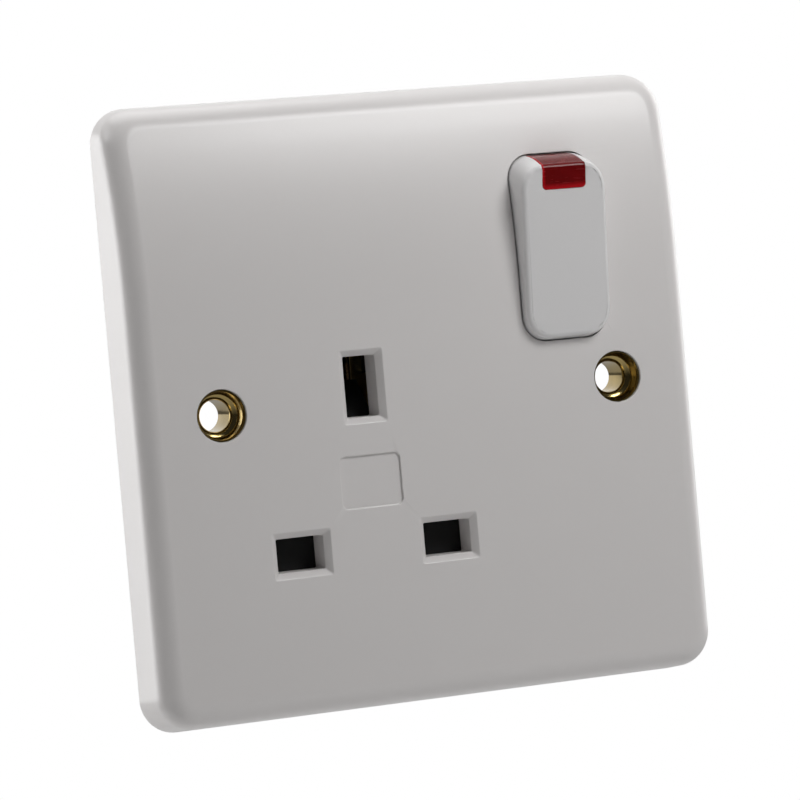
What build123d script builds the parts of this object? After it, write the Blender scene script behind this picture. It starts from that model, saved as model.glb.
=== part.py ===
from build123d import *
import math
import os

# A single switched socket outlet for the wall, seen from the front.
# X runs to the right, Z up and Y into the wall. The wall is the plane Y = 0, and the origin lies midway
# between the two fixing holes. A rise is a height in front of the wall, a depth lies behind it, and both
# are written as positive numbers: rise 7.8 is Y = -7.8 and depth 3.4 is Y = 3.4.

# Front plate
plate_size = 86.0
plate_rise = 7.8
plate_corner = 5.0
plate_draft = 7.6
plate_edge_radius = 2.85
face_thickness = 2.5
skirt_thickness = 2.2
wall_bite = 0.3
cut_over = 1.0
bend_height = 16.0
bend_radius = 100.0

# Fixing holes and their brass eyelets
fixing_pitch = 60.3
fixing_bore = 4.4
eyelet_rim = 7.25
eyelet_cup_depth = 2.4
eyelet_cup_sink = 0.35
eyelet_wall = 0.5
eyelet_clearance = 0.05
eyelet_flare = 0.45
eyelet_flange = 3.4
eyelet_throat_height = 0.6
eyelet_throat_spread = 0.35
eyelet_floor_slope = 0.25
eyelet_cup_lean = 0.15
eyelet_seat_step = 0.25
fixing_boss_radius = 4.6

# Pin slots, from the British three-pin pattern
earth_slot = (-9.0, 2.15)
neutral_slot = (-20.1, -20.05)
live_slot = (2.1, -20.05)
earth_opening = (4.8, 8.5)
line_opening = (7.0, 4.7)
slot_chamfer = 0.88
slot_depth = 4.5
tunnel_wall = 1.2
earth_pin = (4.0, 7.95)
line_pin = (6.35, 4.0)

# Shallow bare recess in the face
recess_centre = (-8.93, -10.99)
recess_size = (9.1, 7.3)
recess_corner = 0.8
recess_depth = 0.35

# Rocker: a barrel turned about its pivot, cut off flat at the front
rocker_x = 22.75
pivot_z = 19.05
pivot_rise = 4.67
rocker_width = 13.0
rocker_radius = 13.27
rocker_face = 5.7
rocker_back = 2.4
rocker_corner = 3.4
rocker_edge_radius = 1.05
rocker_wall = 1.2
rocker_gap = 0.2
rocker_tilt = 5.3
trunnion_radius = 1.25
trunnion_length = 1.4
pivot_clearance = 0.05
well_wall = 1.6

# Red lens at the top of the rocker
lens_width = 6.75
lens_start = 8.6
lens_corner = 0.6
lens_reach = 0.5

# Snap action: a sprung plunger in the rocker tips a rocking contact
plunger_reach = 7.85
plunger_radius = 1.0
plunger_collar = 1.5
plunger_collar_height = 0.8
plunger_wire = 0.18
plunger_turns = 4
tube_wall = 0.8
tube_length = 5.5
tube_lip = 1.15
slide_clearance = 0.08
collar_gap = 0.02
contact_pivot_reach = 9.5
contact_ratio = 1.5
contact_thickness = 1.2
contact_corner = 1.2
contact_width = 5.0
contact_upper = 7.5
contact_lower = 5.5
contact_pin_radius = 0.6
contact_pin_overhang = 1.9
tip_offset = 6.2
tip_radius = 1.3
tip_thickness = 0.7
tip_gap = 0.14
tip_chamfer = 0.25
fixed_tip_margin = 0.3
ear_gap = 0.7
ear_width = 4.0

# Sheet metal and its layers behind the wall plane
sheet = 0.8
front_sheet_depth = 2.6
strap_depth = 8.0
strap_width = 4.2
supply_strap_x = 18.6
load_strap_x = 10.5
load_strap_top = 29.0
load_strap_head = 5.8
earth_bar_width = 7.6
earth_bar_reach = 34.2
earth_leg_width = 6.0
earth_plate_margin = 0.8
bar_bend_run = 2.4
bar_bend_radius = 0.8
bar_clearance = 0.3
tab_half_height = 2.0
pin_hole_margin = 0.6
contact_margin = 1.25
leaf_thickness = 0.6
leaf_width = 5.4
leaf_pinch = 3.7
leaf_flare = 5.0
leaf_waist_share = 0.65
leaf_bend_radius = 1.5
line_leaf_depth = 9.4
earth_leaf_depth = 14.2

# Terminals in a row along the bottom
terminal_width = 8.0
terminal_height = 8.0
terminal_thickness = 9.0
terminal_corner = 0.6
terminal_bottom = -32.0
terminal_bore = 4.4
terminal_screw_radius = 1.95
terminal_head_radius = 3.0
terminal_head_height = 2.4
terminal_head_gap = 0.4
driver_slot_width = 1.0
driver_slot_depth = 0.9
screw_tip_gap = 0.2

# Shutter behind the slots, worked by the earth pin
shutter_gap = 0.1
shutter_thickness = 2.2
shutter_stem_width = 6.4
shutter_over = 0.4
shutter_under = 0.6
shutter_side = 0.9
ramp_margin = 0.35
ramp_depth = 2.2
ramp_heel = 5.3
shutter_clearance = 0.3
shutter_corner = 0.5
shutter_spring_radius = 1.3
shutter_spring_wire = 0.2
shutter_spring_turns = 5
spring_post_z = -34.0
spring_post_height = 1.6
spring_post_width = 6.0
rail_width = 1.2
rail_height = 11.0
rail_middle = -9.0
wire_sides = 5
wire_end_gap = 0.05

# Moulded rear base
base_rise = 0.9
base_left = -31.5
base_right = 32.0
base_bottom = -33.0
base_top = 34.0
base_corner = 2.5
lug_notch_reach = 25.2
lug_notch_height = 15.0
slab_floor = 7.4
switch_floor = 10.6
terminal_floor = 17.0
base_draft = 1.5
pocket_gap = 0.2
pocket_wall = 1.8
base_edge = 0.8
block_corner = 1.5
block_root = 1.5
block_inset = 1.0
pocket_floor_gap = 1.0
chamber_foot = 3.5
hole_clearance = 0.2
cradle_height = 5.6
cradle_middle = 1.6
cradle_inset = 1.0
cradle_depth = 2.0
cradle_gap = 0.05

# Screws that hold the base to the plate
base_screw_places = [(-28.0, -26.5), (-28.0, 26.5), (28.4, -26.5), (3.6, 22.5)]
base_screw_radius = 1.45
base_screw_head_radius = 2.7
base_screw_head_height = 1.6
base_screw_seat = 3.1
base_screw_bite = 3.6
screw_clearance = 0.05
screw_boss_radius = 3.2
head_well_gap = 0.35

# Neon indicator behind the lens
lamp_radius = 2.0
lamp_length = 6.8
lamp_x = 22.0
lamp_z = 27.5
lamp_rise = 2.6
lead_radius = 0.3
lead_overhang = 0.7
lead_bend = 0.5
lamp_chamfer = 0.9
resistor_radius = 1.1
resistor_length = 5.0
resistor_rise = 1.0
resistor_chamfer = 0.4
link_width = 1.8
link_depth = 5.2
link_thickness = 0.6
link_x = -15.5
link_z = 30.0

# Places that follow from the sizes above
half_plate = plate_size / 2
face_inside = plate_rise - face_thickness
fixing_places = [(-fixing_pitch / 2, 0), (fixing_pitch / 2, 0)]
front_sheet_back = front_sheet_depth + sheet
strap_back = strap_depth + sheet
slot_floor_rise = plate_rise - slot_depth
shutter_front = slot_floor_rise - shutter_gap
shutter_back = shutter_front - shutter_thickness
contact_pivot_depth = contact_pivot_reach - pivot_rise
pivot_axis = Axis((rocker_x, -pivot_rise, pivot_z), (1, 0, 0))
contact_axis = Axis((rocker_x, contact_pivot_depth, pivot_z), (1, 0, 0))
contact_tilt = -contact_ratio * rocker_tilt
terminal_top = terminal_bottom + terminal_height
terminal_back = front_sheet_back + terminal_thickness
terminal_bore_depth = front_sheet_back + terminal_thickness / 2
terminal_places = {
    "neutral_terminal": neutral_slot[0],
    "earth_terminal": earth_slot[0],
    "live_terminal": supply_strap_x,
}

os.makedirs("parts", exist_ok=True)


def save(solid, label):
    """Names a finished piece and writes it to its own file."""
    solid.label = label
    export_step(solid, f"parts/{label}.step")


def front_plane(rise):
    """The sketch plane at a height in front of the wall; a negative height lies behind it."""
    return Plane.XZ.offset(rise)


def span(left, right, low, high):
    """A rectangle of the current front sketch between two X values and two Z values."""
    with Locations(((left + right) / 2, (low + high) / 2)):
        Rectangle(right - left, high - low)


def plate_form(inset, rise, radius):
    """The plate's outline: drafted sides and a face that bends back towards the top edge."""
    side = plate_size - 2 * inset
    turn = math.degrees(math.asin((half_plate + cut_over - bend_height) / radius))
    with BuildPart() as form:
        with BuildSketch(front_plane(0)):
            RectangleRounded(side, side, plate_corner - inset)
        extrude(amount=rise, taper=plate_draft)
        with BuildSketch(Plane.YZ):
            with BuildLine():
                bend = CenterArc((radius - rise, bend_height), radius, 180, -turn)
                Polyline(
                    bend @ 1,
                    (-rise - cut_over, (bend @ 1).Y),
                    (-rise - cut_over, bend_height),
                    bend @ 0,
                )
            make_face()
        extrude(amount=half_plate + cut_over, both=True, mode=Mode.SUBTRACT)
    return form.part


def rocker_barrel(half_width, radius, corner):
    """A rounded band turned about the rocker's pivot."""
    with BuildPart() as form:
        with BuildSketch(Plane((rocker_x, -pivot_rise, pivot_z), x_dir=(1, 0, 0), z_dir=(0, -1, 0))):
            Rectangle(2 * half_width, radius, align=(Align.CENTER, Align.MIN))
            fillet(vertices().group_by(Axis.Y)[-1], corner)
        revolve(axis=pivot_axis)
    return form.part


def rocker_block(inset, back):
    """The barrel between a flat front face and an open back, inset from the rocker's outside."""
    with BuildPart() as form:
        add(rocker_barrel(rocker_width / 2 - inset, rocker_radius - inset, rocker_corner - inset))
        split(bisect_by=front_plane(pivot_rise + rocker_face - inset), keep=Keep.BOTTOM)
        split(bisect_by=front_plane(pivot_rise - back), keep=Keep.TOP)
    return form.part


def coil(start, direction, length, radius, wire, turns):
    """A coil spring from a start point along a direction."""
    with BuildPart() as form:
        with BuildLine():
            path = Helix(length / turns, length, radius, center=start, direction=direction)
        with BuildSketch(Plane(origin=path @ 0, z_dir=path % 0)):
            RegularPolygon(wire, wire_sides)
        sweep(path=path, is_frenet=True)
    return form.part


def wire_along(points, radius, bend):
    """A round wire through a few points, bent at each corner."""
    with BuildPart() as form:
        with BuildLine():
            path = FilletPolyline(*points, radius=bend)
        with BuildSketch(Plane(origin=path @ 0, z_dir=path % 0)):
            RegularPolygon(radius, wire_sides)
        sweep(path=path)
    return form.part


def leaf_pair(plane, middle, width, end_depth):
    """Two sprung leaves that run back from a contact plate, pinch the pin and flare open."""
    root = leaf_flare / 2 + leaf_thickness / 2
    waist = leaf_pinch / 2 + leaf_thickness / 2
    waist_depth = front_sheet_back + leaf_waist_share * (end_depth - front_sheet_back)
    with BuildPart() as leaves:
        with BuildSketch(plane):
            for side in (-1, 1):
                with BuildLine() as line:
                    FilletPolyline(
                        middle(side * root, front_sheet_back - sheet / 2),
                        middle(side * waist, waist_depth),
                        middle(side * (waist + leaf_thickness), end_depth),
                        radius=leaf_bend_radius,
                    )
                trace(line.line, line_width=leaf_thickness)
        extrude(amount=width / 2, both=True)
    return leaves.part


# The front plate: a hollow moulding with slot tunnels, a rocker well and screw bosses
with BuildPart() as front_plate:
    add(plate_form(0, plate_rise, bend_radius))
    front_faces = front_plate.faces().filter_by(lambda face: face.normal_at().Y < -0.9)
    rim = [
        edge
        for edge in front_faces.edges()
        if len([face for face in front_faces if edge in face.edges()]) == 1
    ]
    fillet(rim, plate_edge_radius)
    add(
        plate_form(skirt_thickness, face_inside, bend_radius - face_thickness),
        mode=Mode.SUBTRACT,
    )

    # Tunnels behind the three slots
    with BuildSketch(front_plane(slot_floor_rise)):
        for place, (wide, high) in (
            (earth_slot, earth_opening),
            (neutral_slot, line_opening),
            (live_slot, line_opening),
        ):
            with Locations(place):
                Rectangle(wide + 2 * tunnel_wall, high + 2 * tunnel_wall)
    extrude(amount=face_inside + wall_bite - slot_floor_rise)

    # Wall round the rocker, bosses for the base screws and for the fixing eyelets
    well_half_width = rocker_width / 2 + rocker_gap + well_wall
    well_half_height = rocker_radius + rocker_gap + well_wall
    with BuildSketch(front_plane(base_rise + shutter_gap)):
        with Locations((rocker_x, pivot_z)):
            RectangleRounded(2 * well_half_width, 2 * well_half_height, rocker_corner + well_wall)
    extrude(amount=face_inside + wall_bite - base_rise - shutter_gap)
    with BuildSketch(front_plane(base_rise)):
        with Locations(*base_screw_places):
            Circle(screw_boss_radius)
    extrude(amount=face_inside + wall_bite - base_rise)
    eyelet_seat = base_rise + eyelet_seat_step
    with BuildSketch(front_plane(eyelet_seat)):
        with Locations(*fixing_places):
            Circle(fixing_boss_radius)
    extrude(amount=face_inside + wall_bite - eyelet_seat)

    # Rails beside the shutter's stem and a post behind its spring
    rail_x = shutter_stem_width / 2 + shutter_clearance
    with BuildSketch(front_plane(base_rise + shutter_gap)):
        for side in (-1, 1):
            with Locations((earth_slot[0] + side * (rail_x + rail_width / 2), rail_middle)):
                Rectangle(rail_width, rail_height)
        with Locations((earth_slot[0], spring_post_z - spring_post_height / 2)):
            Rectangle(spring_post_width, spring_post_height)
    extrude(amount=face_inside + wall_bite - base_rise - shutter_gap)

    # Rocker opening, concentric with the pivot, and a notch for each trunnion
    add(
        rocker_barrel(
            rocker_width / 2 + rocker_gap, rocker_radius + rocker_gap, rocker_corner + rocker_gap
        ),
        mode=Mode.SUBTRACT,
    )
    notch = trunnion_radius + pivot_clearance
    with BuildSketch(Plane.YZ.offset(rocker_x)):
        with Locations((-pivot_rise, pivot_z)):
            Circle(notch)
        with Locations((-pivot_rise / 2, pivot_z)):
            Rectangle(pivot_rise, 2 * notch)
    extrude(amount=well_half_width + cut_over, both=True, mode=Mode.SUBTRACT)

    # Slots with chamfered mouths
    for place, (wide, high) in (
        (earth_slot, earth_opening),
        (neutral_slot, line_opening),
        (live_slot, line_opening),
    ):
        with BuildSketch(front_plane(0)):
            with Locations(place):
                Rectangle(wide, high)
        extrude(amount=plate_rise + cut_over, mode=Mode.SUBTRACT)
        with BuildSketch(front_plane(plate_rise)):
            with Locations(place):
                Rectangle(wide + 2 * slot_chamfer, high + 2 * slot_chamfer)
        extrude(amount=-slot_chamfer, taper=45, mode=Mode.SUBTRACT)

    # Bare recess
    with BuildSketch(front_plane(plate_rise)):
        with Locations(recess_centre):
            RectangleRounded(*recess_size, recess_corner)
    extrude(amount=-recess_depth, mode=Mode.SUBTRACT)

    # Stepped bores for the eyelets and blind holes for the base screws
    with BuildSketch(front_plane(plate_rise + cut_over)):
        with Locations(*fixing_places):
            Circle(fixing_bore / 2 + eyelet_wall + eyelet_clearance)
    extrude(amount=-plate_rise - cut_over, mode=Mode.SUBTRACT)
    with BuildSketch(front_plane(plate_rise + cut_over)):
        with Locations(*fixing_places):
            Circle(eyelet_rim / 2)
    extrude(amount=-eyelet_cup_depth - cut_over - eyelet_wall, mode=Mode.SUBTRACT)
    with BuildSketch(front_plane(base_rise)):
        with Locations(*base_screw_places):
            Circle(base_screw_radius + screw_clearance)
    extrude(amount=base_screw_bite + screw_tip_gap, mode=Mode.SUBTRACT)
save(front_plate.part, "front_plate")

# Brass eyelets: a cup under the rim, a funnel and a tube rolled over behind the earth bar
for label, (place, _) in zip(("eyelet_left", "eyelet_right"), fixing_places):
    cup_outer = eyelet_rim / 2 - eyelet_clearance
    tube_inner = fixing_bore / 2
    tube_outer = tube_inner + eyelet_wall
    cup_top = plate_rise - eyelet_cup_sink
    cup_floor = plate_rise - eyelet_cup_depth
    with BuildPart() as eyelet:
        with BuildSketch(Plane.XY):
            with BuildLine():
                Polyline(
                    (place + cup_outer, -cup_top),
                    (place + cup_outer, -cup_floor + eyelet_wall),
                    (place + tube_outer, -cup_floor + eyelet_wall),
                    (place + tube_outer, -eyelet_seat + sheet),
                    (place + eyelet_flange, -eyelet_seat + sheet),
                    (place + eyelet_flange, 0),
                    (place + tube_inner + eyelet_flare, 0),
                    (place + tube_inner, -eyelet_flare),
                    (place + tube_inner, -cup_floor + eyelet_throat_height),
                    (place + tube_inner + eyelet_throat_spread, -cup_floor),
                    (place + cup_outer - eyelet_wall, -cup_floor - eyelet_floor_slope),
                    (place + cup_outer - eyelet_wall + eyelet_cup_lean, -cup_top),
                    close=True,
                )
            make_face()
        revolve(axis=Axis((place, 0, 0), (0, 1, 0)))
    save(eyelet.part, label)

# Earth bar: one stamping that joins both eyelets, the earth contact and the earth terminal
with BuildPart() as earth_bar:
    bar_seat = -eyelet_seat + sheet / 2
    bar_flat = front_sheet_depth + sheet / 2
    bar_bend_start = fixing_pitch / 2 - fixing_boss_radius - bar_clearance
    bar_bend_end = bar_bend_start - bar_bend_run
    with BuildSketch(Plane.XY):
        with BuildLine() as bar_line:
            FilletPolyline(
                (-earth_bar_reach, bar_seat),
                (-bar_bend_start, bar_seat),
                (-bar_bend_end, bar_flat),
                (bar_bend_end, bar_flat),
                (bar_bend_start, bar_seat),
                (earth_bar_reach, bar_seat),
                radius=bar_bend_radius,
            )
        trace(bar_line.line, line_width=sheet)
    extrude(amount=earth_bar_width / 2, both=True)
    earth_plate_width = earth_pin[0] + 2 * (pin_hole_margin + contact_margin + leaf_thickness)
    earth_plate_top = earth_slot[1] + earth_pin[1] / 2 + pin_hole_margin + contact_margin
    with BuildSketch(front_plane(-front_sheet_depth)):
        span(
            earth_slot[0] - earth_plate_width / 2,
            earth_slot[0] + earth_plate_width / 2,
            0,
            earth_plate_top,
        )
        span(
            earth_slot[0] - earth_leg_width / 2,
            earth_slot[0] + earth_leg_width / 2,
            terminal_bottom,
            0,
        )
    extrude(amount=-sheet)
    with BuildSketch(front_plane(-front_sheet_depth)):
        with Locations(earth_slot):
            Rectangle(earth_pin[0] + 2 * pin_hole_margin, earth_pin[1] + 2 * pin_hole_margin)
    extrude(amount=-sheet, mode=Mode.SUBTRACT)
    with BuildSketch(front_plane(base_rise + cut_over)):
        with Locations(*fixing_places):
            Circle(fixing_bore / 2 + eyelet_wall + eyelet_clearance)
    extrude(amount=-base_rise - 2 * cut_over, mode=Mode.SUBTRACT)
save(earth_bar.part, "earth_bar")

# Earth contact: a plate riveted behind the bar, with leaves left and right of the upright pin
with BuildPart() as earth_contact:
    with BuildSketch(front_plane(-front_sheet_back)):
        with Locations(earth_slot):
            Rectangle(earth_plate_width, earth_pin[1] + 2 * (pin_hole_margin + earth_plate_margin))
            Rectangle(
                earth_pin[0] + 2 * pin_hole_margin,
                earth_pin[1] + 2 * pin_hole_margin,
                mode=Mode.SUBTRACT,
            )
    extrude(amount=-sheet)
    add(
        leaf_pair(
            Plane.XY.offset(earth_slot[1]),
            lambda side, depth: (earth_slot[0] + side, depth + sheet),
            leaf_width + earth_plate_margin,
            earth_leaf_depth - sheet,
        )
    )
save(earth_contact.part, "earth_contact")


def line_contact(slot, leg_bottom, tab_right):
    """A live or neutral contact: plate with a pin hole, leaves above and below, and its way out."""
    plate_half_width = line_pin[0] / 2 + contact_margin
    plate_half_height = line_pin[1] / 2 + pin_hole_margin + contact_margin + leaf_thickness
    with BuildPart() as contact:
        with BuildSketch(front_plane(-front_sheet_depth)):
            with Locations(slot):
                Rectangle(2 * plate_half_width, 2 * plate_half_height)
            if leg_bottom is not None:
                span(slot[0] - earth_leg_width / 2, slot[0] + earth_leg_width / 2, leg_bottom, slot[1])
            if tab_right is not None:
                span(slot[0], tab_right, slot[1] - tab_half_height, slot[1] + tab_half_height)
            with Locations(slot):
                Rectangle(
                    line_pin[0] + 2 * (contact_margin - leaf_thickness),
                    line_pin[1] + 2 * pin_hole_margin,
                    mode=Mode.SUBTRACT,
                )
        extrude(amount=-sheet)
        add(
            leaf_pair(
                Plane.YZ.offset(slot[0]),
                lambda side, depth: (depth, slot[1] + side),
                leaf_width,
                line_leaf_depth,
            )
        )
        if tab_right is not None:
            with BuildSketch(front_plane(-front_sheet_depth)):
                span(
                    tab_right - sheet,
                    tab_right,
                    slot[1] - tab_half_height,
                    slot[1] + tab_half_height,
                )
            extrude(amount=front_sheet_depth - strap_back)
    return contact.part


load_strap_left = load_strap_x - strap_width / 2
save(line_contact(neutral_slot, terminal_bottom, None), "neutral_contact")
save(line_contact(live_slot, None, load_strap_left), "live_contact")

# Brass terminals: a block with a wire bore from below and a clamping screw from behind
for label, x in terminal_places.items():
    with BuildPart() as terminal:
        with BuildSketch(front_plane(-front_sheet_back)):
            with Locations((x, terminal_bottom + terminal_height / 2)):
                RectangleRounded(terminal_width, terminal_height, terminal_corner)
        extrude(amount=-terminal_thickness)
        with Locations((x, terminal_bore_depth, terminal_bottom + terminal_height / 2)):
            Cylinder(terminal_bore / 2, terminal_height, mode=Mode.SUBTRACT)
        with BuildSketch(front_plane(-terminal_back)):
            with Locations((x, terminal_bottom + terminal_height / 2)):
                Circle(terminal_screw_radius + screw_clearance)
        extrude(amount=terminal_back - terminal_bore_depth, mode=Mode.SUBTRACT)
    save(terminal.part, label)


def slotted_screw(shank_radius, shank_length, head_radius, head_height):
    """A screw that points forwards from a head with a driver slot, its seat on the ground plane."""
    with BuildPart() as screw:
        with BuildSketch(front_plane(0)):
            Circle(shank_radius)
        extrude(amount=shank_length)
        with BuildSketch(front_plane(0)):
            Circle(head_radius)
        extrude(amount=-head_height)
        chamfer(screw.edges().sort_by(Axis.Y)[-1], head_height / 4)
        with BuildSketch(front_plane(-head_height)):
            Rectangle(2 * head_radius, driver_slot_width)
        extrude(amount=driver_slot_depth, mode=Mode.SUBTRACT)
    return screw.part


terminal_screw_seat = terminal_back + terminal_head_gap
terminal_screw = slotted_screw(
    terminal_screw_radius,
    terminal_screw_seat - terminal_bore_depth - terminal_bore / 2 - screw_tip_gap,
    terminal_head_radius,
    terminal_head_height,
)
with BuildPart() as terminal_screws:
    for x in terminal_places.values():
        with Locations((x, terminal_screw_seat, terminal_bottom + terminal_height / 2)):
            add(terminal_screw)
save(terminal_screws.part, "terminal_screws")

base_screw = slotted_screw(
    base_screw_radius,
    base_screw_seat + base_rise + base_screw_bite,
    base_screw_head_radius,
    base_screw_head_height,
)
with BuildPart() as base_screws:
    for x, z in base_screw_places:
        with Locations((x, base_screw_seat, z)):
            add(base_screw)
save(base_screws.part, "base_screws")

# Straps of the live pole: supply terminal to fulcrum, fixed contact to the live pin
with BuildPart() as supply_strap:
    with BuildSketch(front_plane(-strap_depth)):
        span(
            supply_strap_x - strap_width / 2,
            supply_strap_x + strap_width / 2,
            terminal_top,
            pivot_z + ear_width / 2,
        )
        span(supply_strap_x, rocker_x + strap_width, pivot_z - ear_width / 2, pivot_z + ear_width / 2)
    extrude(amount=-sheet)
save(supply_strap.part, "supply_strap")

with BuildPart() as load_strap:
    with BuildSketch(front_plane(-strap_depth)):
        span(
            load_strap_left,
            load_strap_left + strap_width,
            live_slot[1] - tab_half_height,
            load_strap_top,
        )
        span(
            load_strap_left,
            rocker_x + strap_width / 2 + fixed_tip_margin,
            load_strap_top - load_strap_head,
            load_strap_top,
        )
    extrude(amount=-sheet)
save(load_strap.part, "load_strap")

# Fulcrum: a bracket with two notched ears that carry the rocking contact
with BuildPart() as fulcrum:
    ear_inside = contact_width / 2 + ear_gap
    with BuildSketch(front_plane(-strap_depth)):
        with Locations((rocker_x, pivot_z)):
            Rectangle(2 * (ear_inside + sheet), ear_width)
    extrude(amount=sheet)
    with BuildSketch(Plane.YZ.offset(rocker_x)):
        with Locations(((strap_depth + contact_pivot_depth - contact_pin_radius) / 2, pivot_z)):
            Rectangle(strap_depth - contact_pivot_depth + contact_pin_radius, ear_width)
        with Locations((contact_pivot_depth, pivot_z)):
            Circle(contact_pin_radius + pivot_clearance, mode=Mode.SUBTRACT)
        with Locations((contact_pivot_depth - contact_pin_radius, pivot_z)):
            Rectangle(
                2 * contact_pin_radius,
                2 * (contact_pin_radius + pivot_clearance),
                mode=Mode.SUBTRACT,
            )
    extrude(amount=ear_inside + sheet, both=True)
    with BuildSketch(Plane.YZ.offset(rocker_x)):
        with Locations(((strap_depth - sheet) / 2, pivot_z)):
            Rectangle(strap_depth - sheet, ear_width + cut_over)
    extrude(amount=ear_inside, both=True, mode=Mode.SUBTRACT)
save(fulcrum.part, "fulcrum")

# Rocking contact, level: a bar with rounded corners and a pivot pin across it
with BuildPart() as moving_contact:
    with BuildSketch(Plane.YZ.offset(rocker_x)):
        with Locations((contact_pivot_depth, pivot_z + (contact_upper - contact_lower) / 2)):
            Rectangle(contact_thickness, contact_upper + contact_lower)
    extrude(amount=contact_width / 2, both=True)
    fillet(moving_contact.edges().filter_by(Axis.Y), contact_corner)
    with BuildSketch(Plane.YZ.offset(rocker_x)):
        with Locations((contact_pivot_depth, pivot_z)):
            Circle(contact_pin_radius)
    extrude(amount=contact_width / 2 + contact_pin_overhang, both=True)
save(moving_contact.part.rotate(contact_axis, contact_tilt), "moving_contact")

# Silver rivet at the rocking contact's upper end, and its partner on the load strap
with BuildPart() as moving_tip:
    with BuildSketch(front_plane(-contact_pivot_depth - contact_thickness / 2)):
        with Locations((rocker_x, pivot_z + tip_offset)):
            Circle(tip_radius)
    extrude(amount=-tip_thickness)
    chamfer(moving_tip.edges().sort_by(Axis.Y)[-1], tip_chamfer)
moving_tip_posed = moving_tip.part.rotate(contact_axis, contact_tilt)
save(moving_tip_posed, "moving_tip")

tip_meeting = moving_tip_posed.bounding_box().max.Y + tip_gap
with BuildPart() as fixed_tip:
    with BuildSketch(front_plane(-strap_depth)):
        with Locations((rocker_x, pivot_z + tip_offset)):
            Circle(tip_radius + fixed_tip_margin)
    extrude(amount=strap_depth - tip_meeting)
    chamfer(fixed_tip.edges().sort_by(Axis.Y)[0], tip_chamfer)
save(fixed_tip.part, "fixed_tip")

# Rocker, level: a hollow barrel with trunnions, a plunger tube and a window for the lens
tube_bore = plunger_collar + slide_clearance
with BuildPart() as rocker:
    add(rocker_block(0, rocker_back))
    front_face = rocker.faces().sort_by(Axis.Y)[0]
    fillet(front_face.edges(), rocker_edge_radius)
    add(rocker_block(rocker_wall, rocker_back + cut_over), mode=Mode.SUBTRACT)
    with BuildSketch(front_plane(pivot_rise - tube_length)):
        with Locations((rocker_x, pivot_z)):
            Circle(tube_bore + tube_wall)
    extrude(amount=tube_length + rocker_face - rocker_wall / 2)
    with BuildSketch(Plane.YZ.offset(rocker_x)):
        with Locations((-pivot_rise, pivot_z)):
            Circle(trunnion_radius)
    extrude(amount=rocker_width / 2 + trunnion_length, both=True)
    with BuildSketch(front_plane(pivot_rise)):
        with Locations((rocker_x, pivot_z)):
            Rectangle(rocker_width - 2 * rocker_wall, 2 * trunnion_radius + cut_over)
            Circle(tube_bore + tube_wall, mode=Mode.SUBTRACT)
    extrude(amount=trunnion_radius + cut_over / 2, both=True, mode=Mode.SUBTRACT)
    with BuildSketch(front_plane(pivot_rise - tube_length + tube_lip)):
        with Locations((rocker_x, pivot_z)):
            Circle(tube_bore)
    extrude(amount=tube_length - tube_lip + rocker_face - rocker_wall, mode=Mode.SUBTRACT)
    with BuildSketch(front_plane(pivot_rise - tube_length)):
        with Locations((rocker_x, pivot_z)):
            Circle(plunger_radius + slide_clearance)
    extrude(amount=tube_lip, mode=Mode.SUBTRACT)

lens_end = rocker_radius + cut_over
with BuildPart() as lens_window:
    with BuildSketch(front_plane(pivot_rise + lens_reach)):
        with BuildLine():
            left = rocker_x - lens_width / 2
            right = rocker_x + lens_width / 2
            FilletPolyline(
                (left, pivot_z + lens_end),
                (left, pivot_z + lens_start),
                (right, pivot_z + lens_start),
                (right, pivot_z + lens_end),
                radius=lens_corner,
            )
            Line((right, pivot_z + lens_end), (left, pivot_z + lens_end))
        make_face()
    extrude(amount=rocker_face)

with BuildPart() as neon_lens:
    add(rocker.part)
    add(lens_window.part, mode=Mode.INTERSECT)
with BuildPart() as rocker_cut:
    add(rocker.part)
    add(lens_window.part, mode=Mode.SUBTRACT)
save(rocker_cut.part.rotate(pivot_axis, rocker_tilt), "rocker")
save(neon_lens.part.rotate(pivot_axis, rocker_tilt), "neon_lens")

# Plunger, level: a round-nosed pin with a collar on the tube's lip, and the spring in front of it
lip_rise = pivot_rise - tube_length + tube_lip
nose_rise = pivot_rise - plunger_reach
with BuildPart() as plunger:
    with BuildSketch(front_plane(nose_rise)):
        with Locations((rocker_x, pivot_z)):
            Circle(plunger_radius)
    extrude(amount=lip_rise - nose_rise + plunger_collar_height)
    with Locations((rocker_x, -nose_rise, pivot_z)):
        Sphere(plunger_radius)
    collar_rise = lip_rise + collar_gap
    with BuildSketch(front_plane(collar_rise)):
        with Locations((rocker_x, pivot_z)):
            Circle(plunger_collar)
    extrude(amount=plunger_collar_height)
save(plunger.part.rotate(pivot_axis, rocker_tilt), "plunger")

spring_foot = collar_rise + plunger_collar_height + plunger_wire
spring_head = pivot_rise + rocker_face - rocker_wall - plunger_wire - wire_end_gap
plunger_spring = coil(
    (rocker_x, -spring_foot, pivot_z),
    (0, -1, 0),
    spring_head - spring_foot,
    plunger_collar - plunger_wire - slide_clearance,
    plunger_wire,
    plunger_turns,
)
save(plunger_spring.rotate(pivot_axis, rocker_tilt), "plunger_spring")

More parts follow.
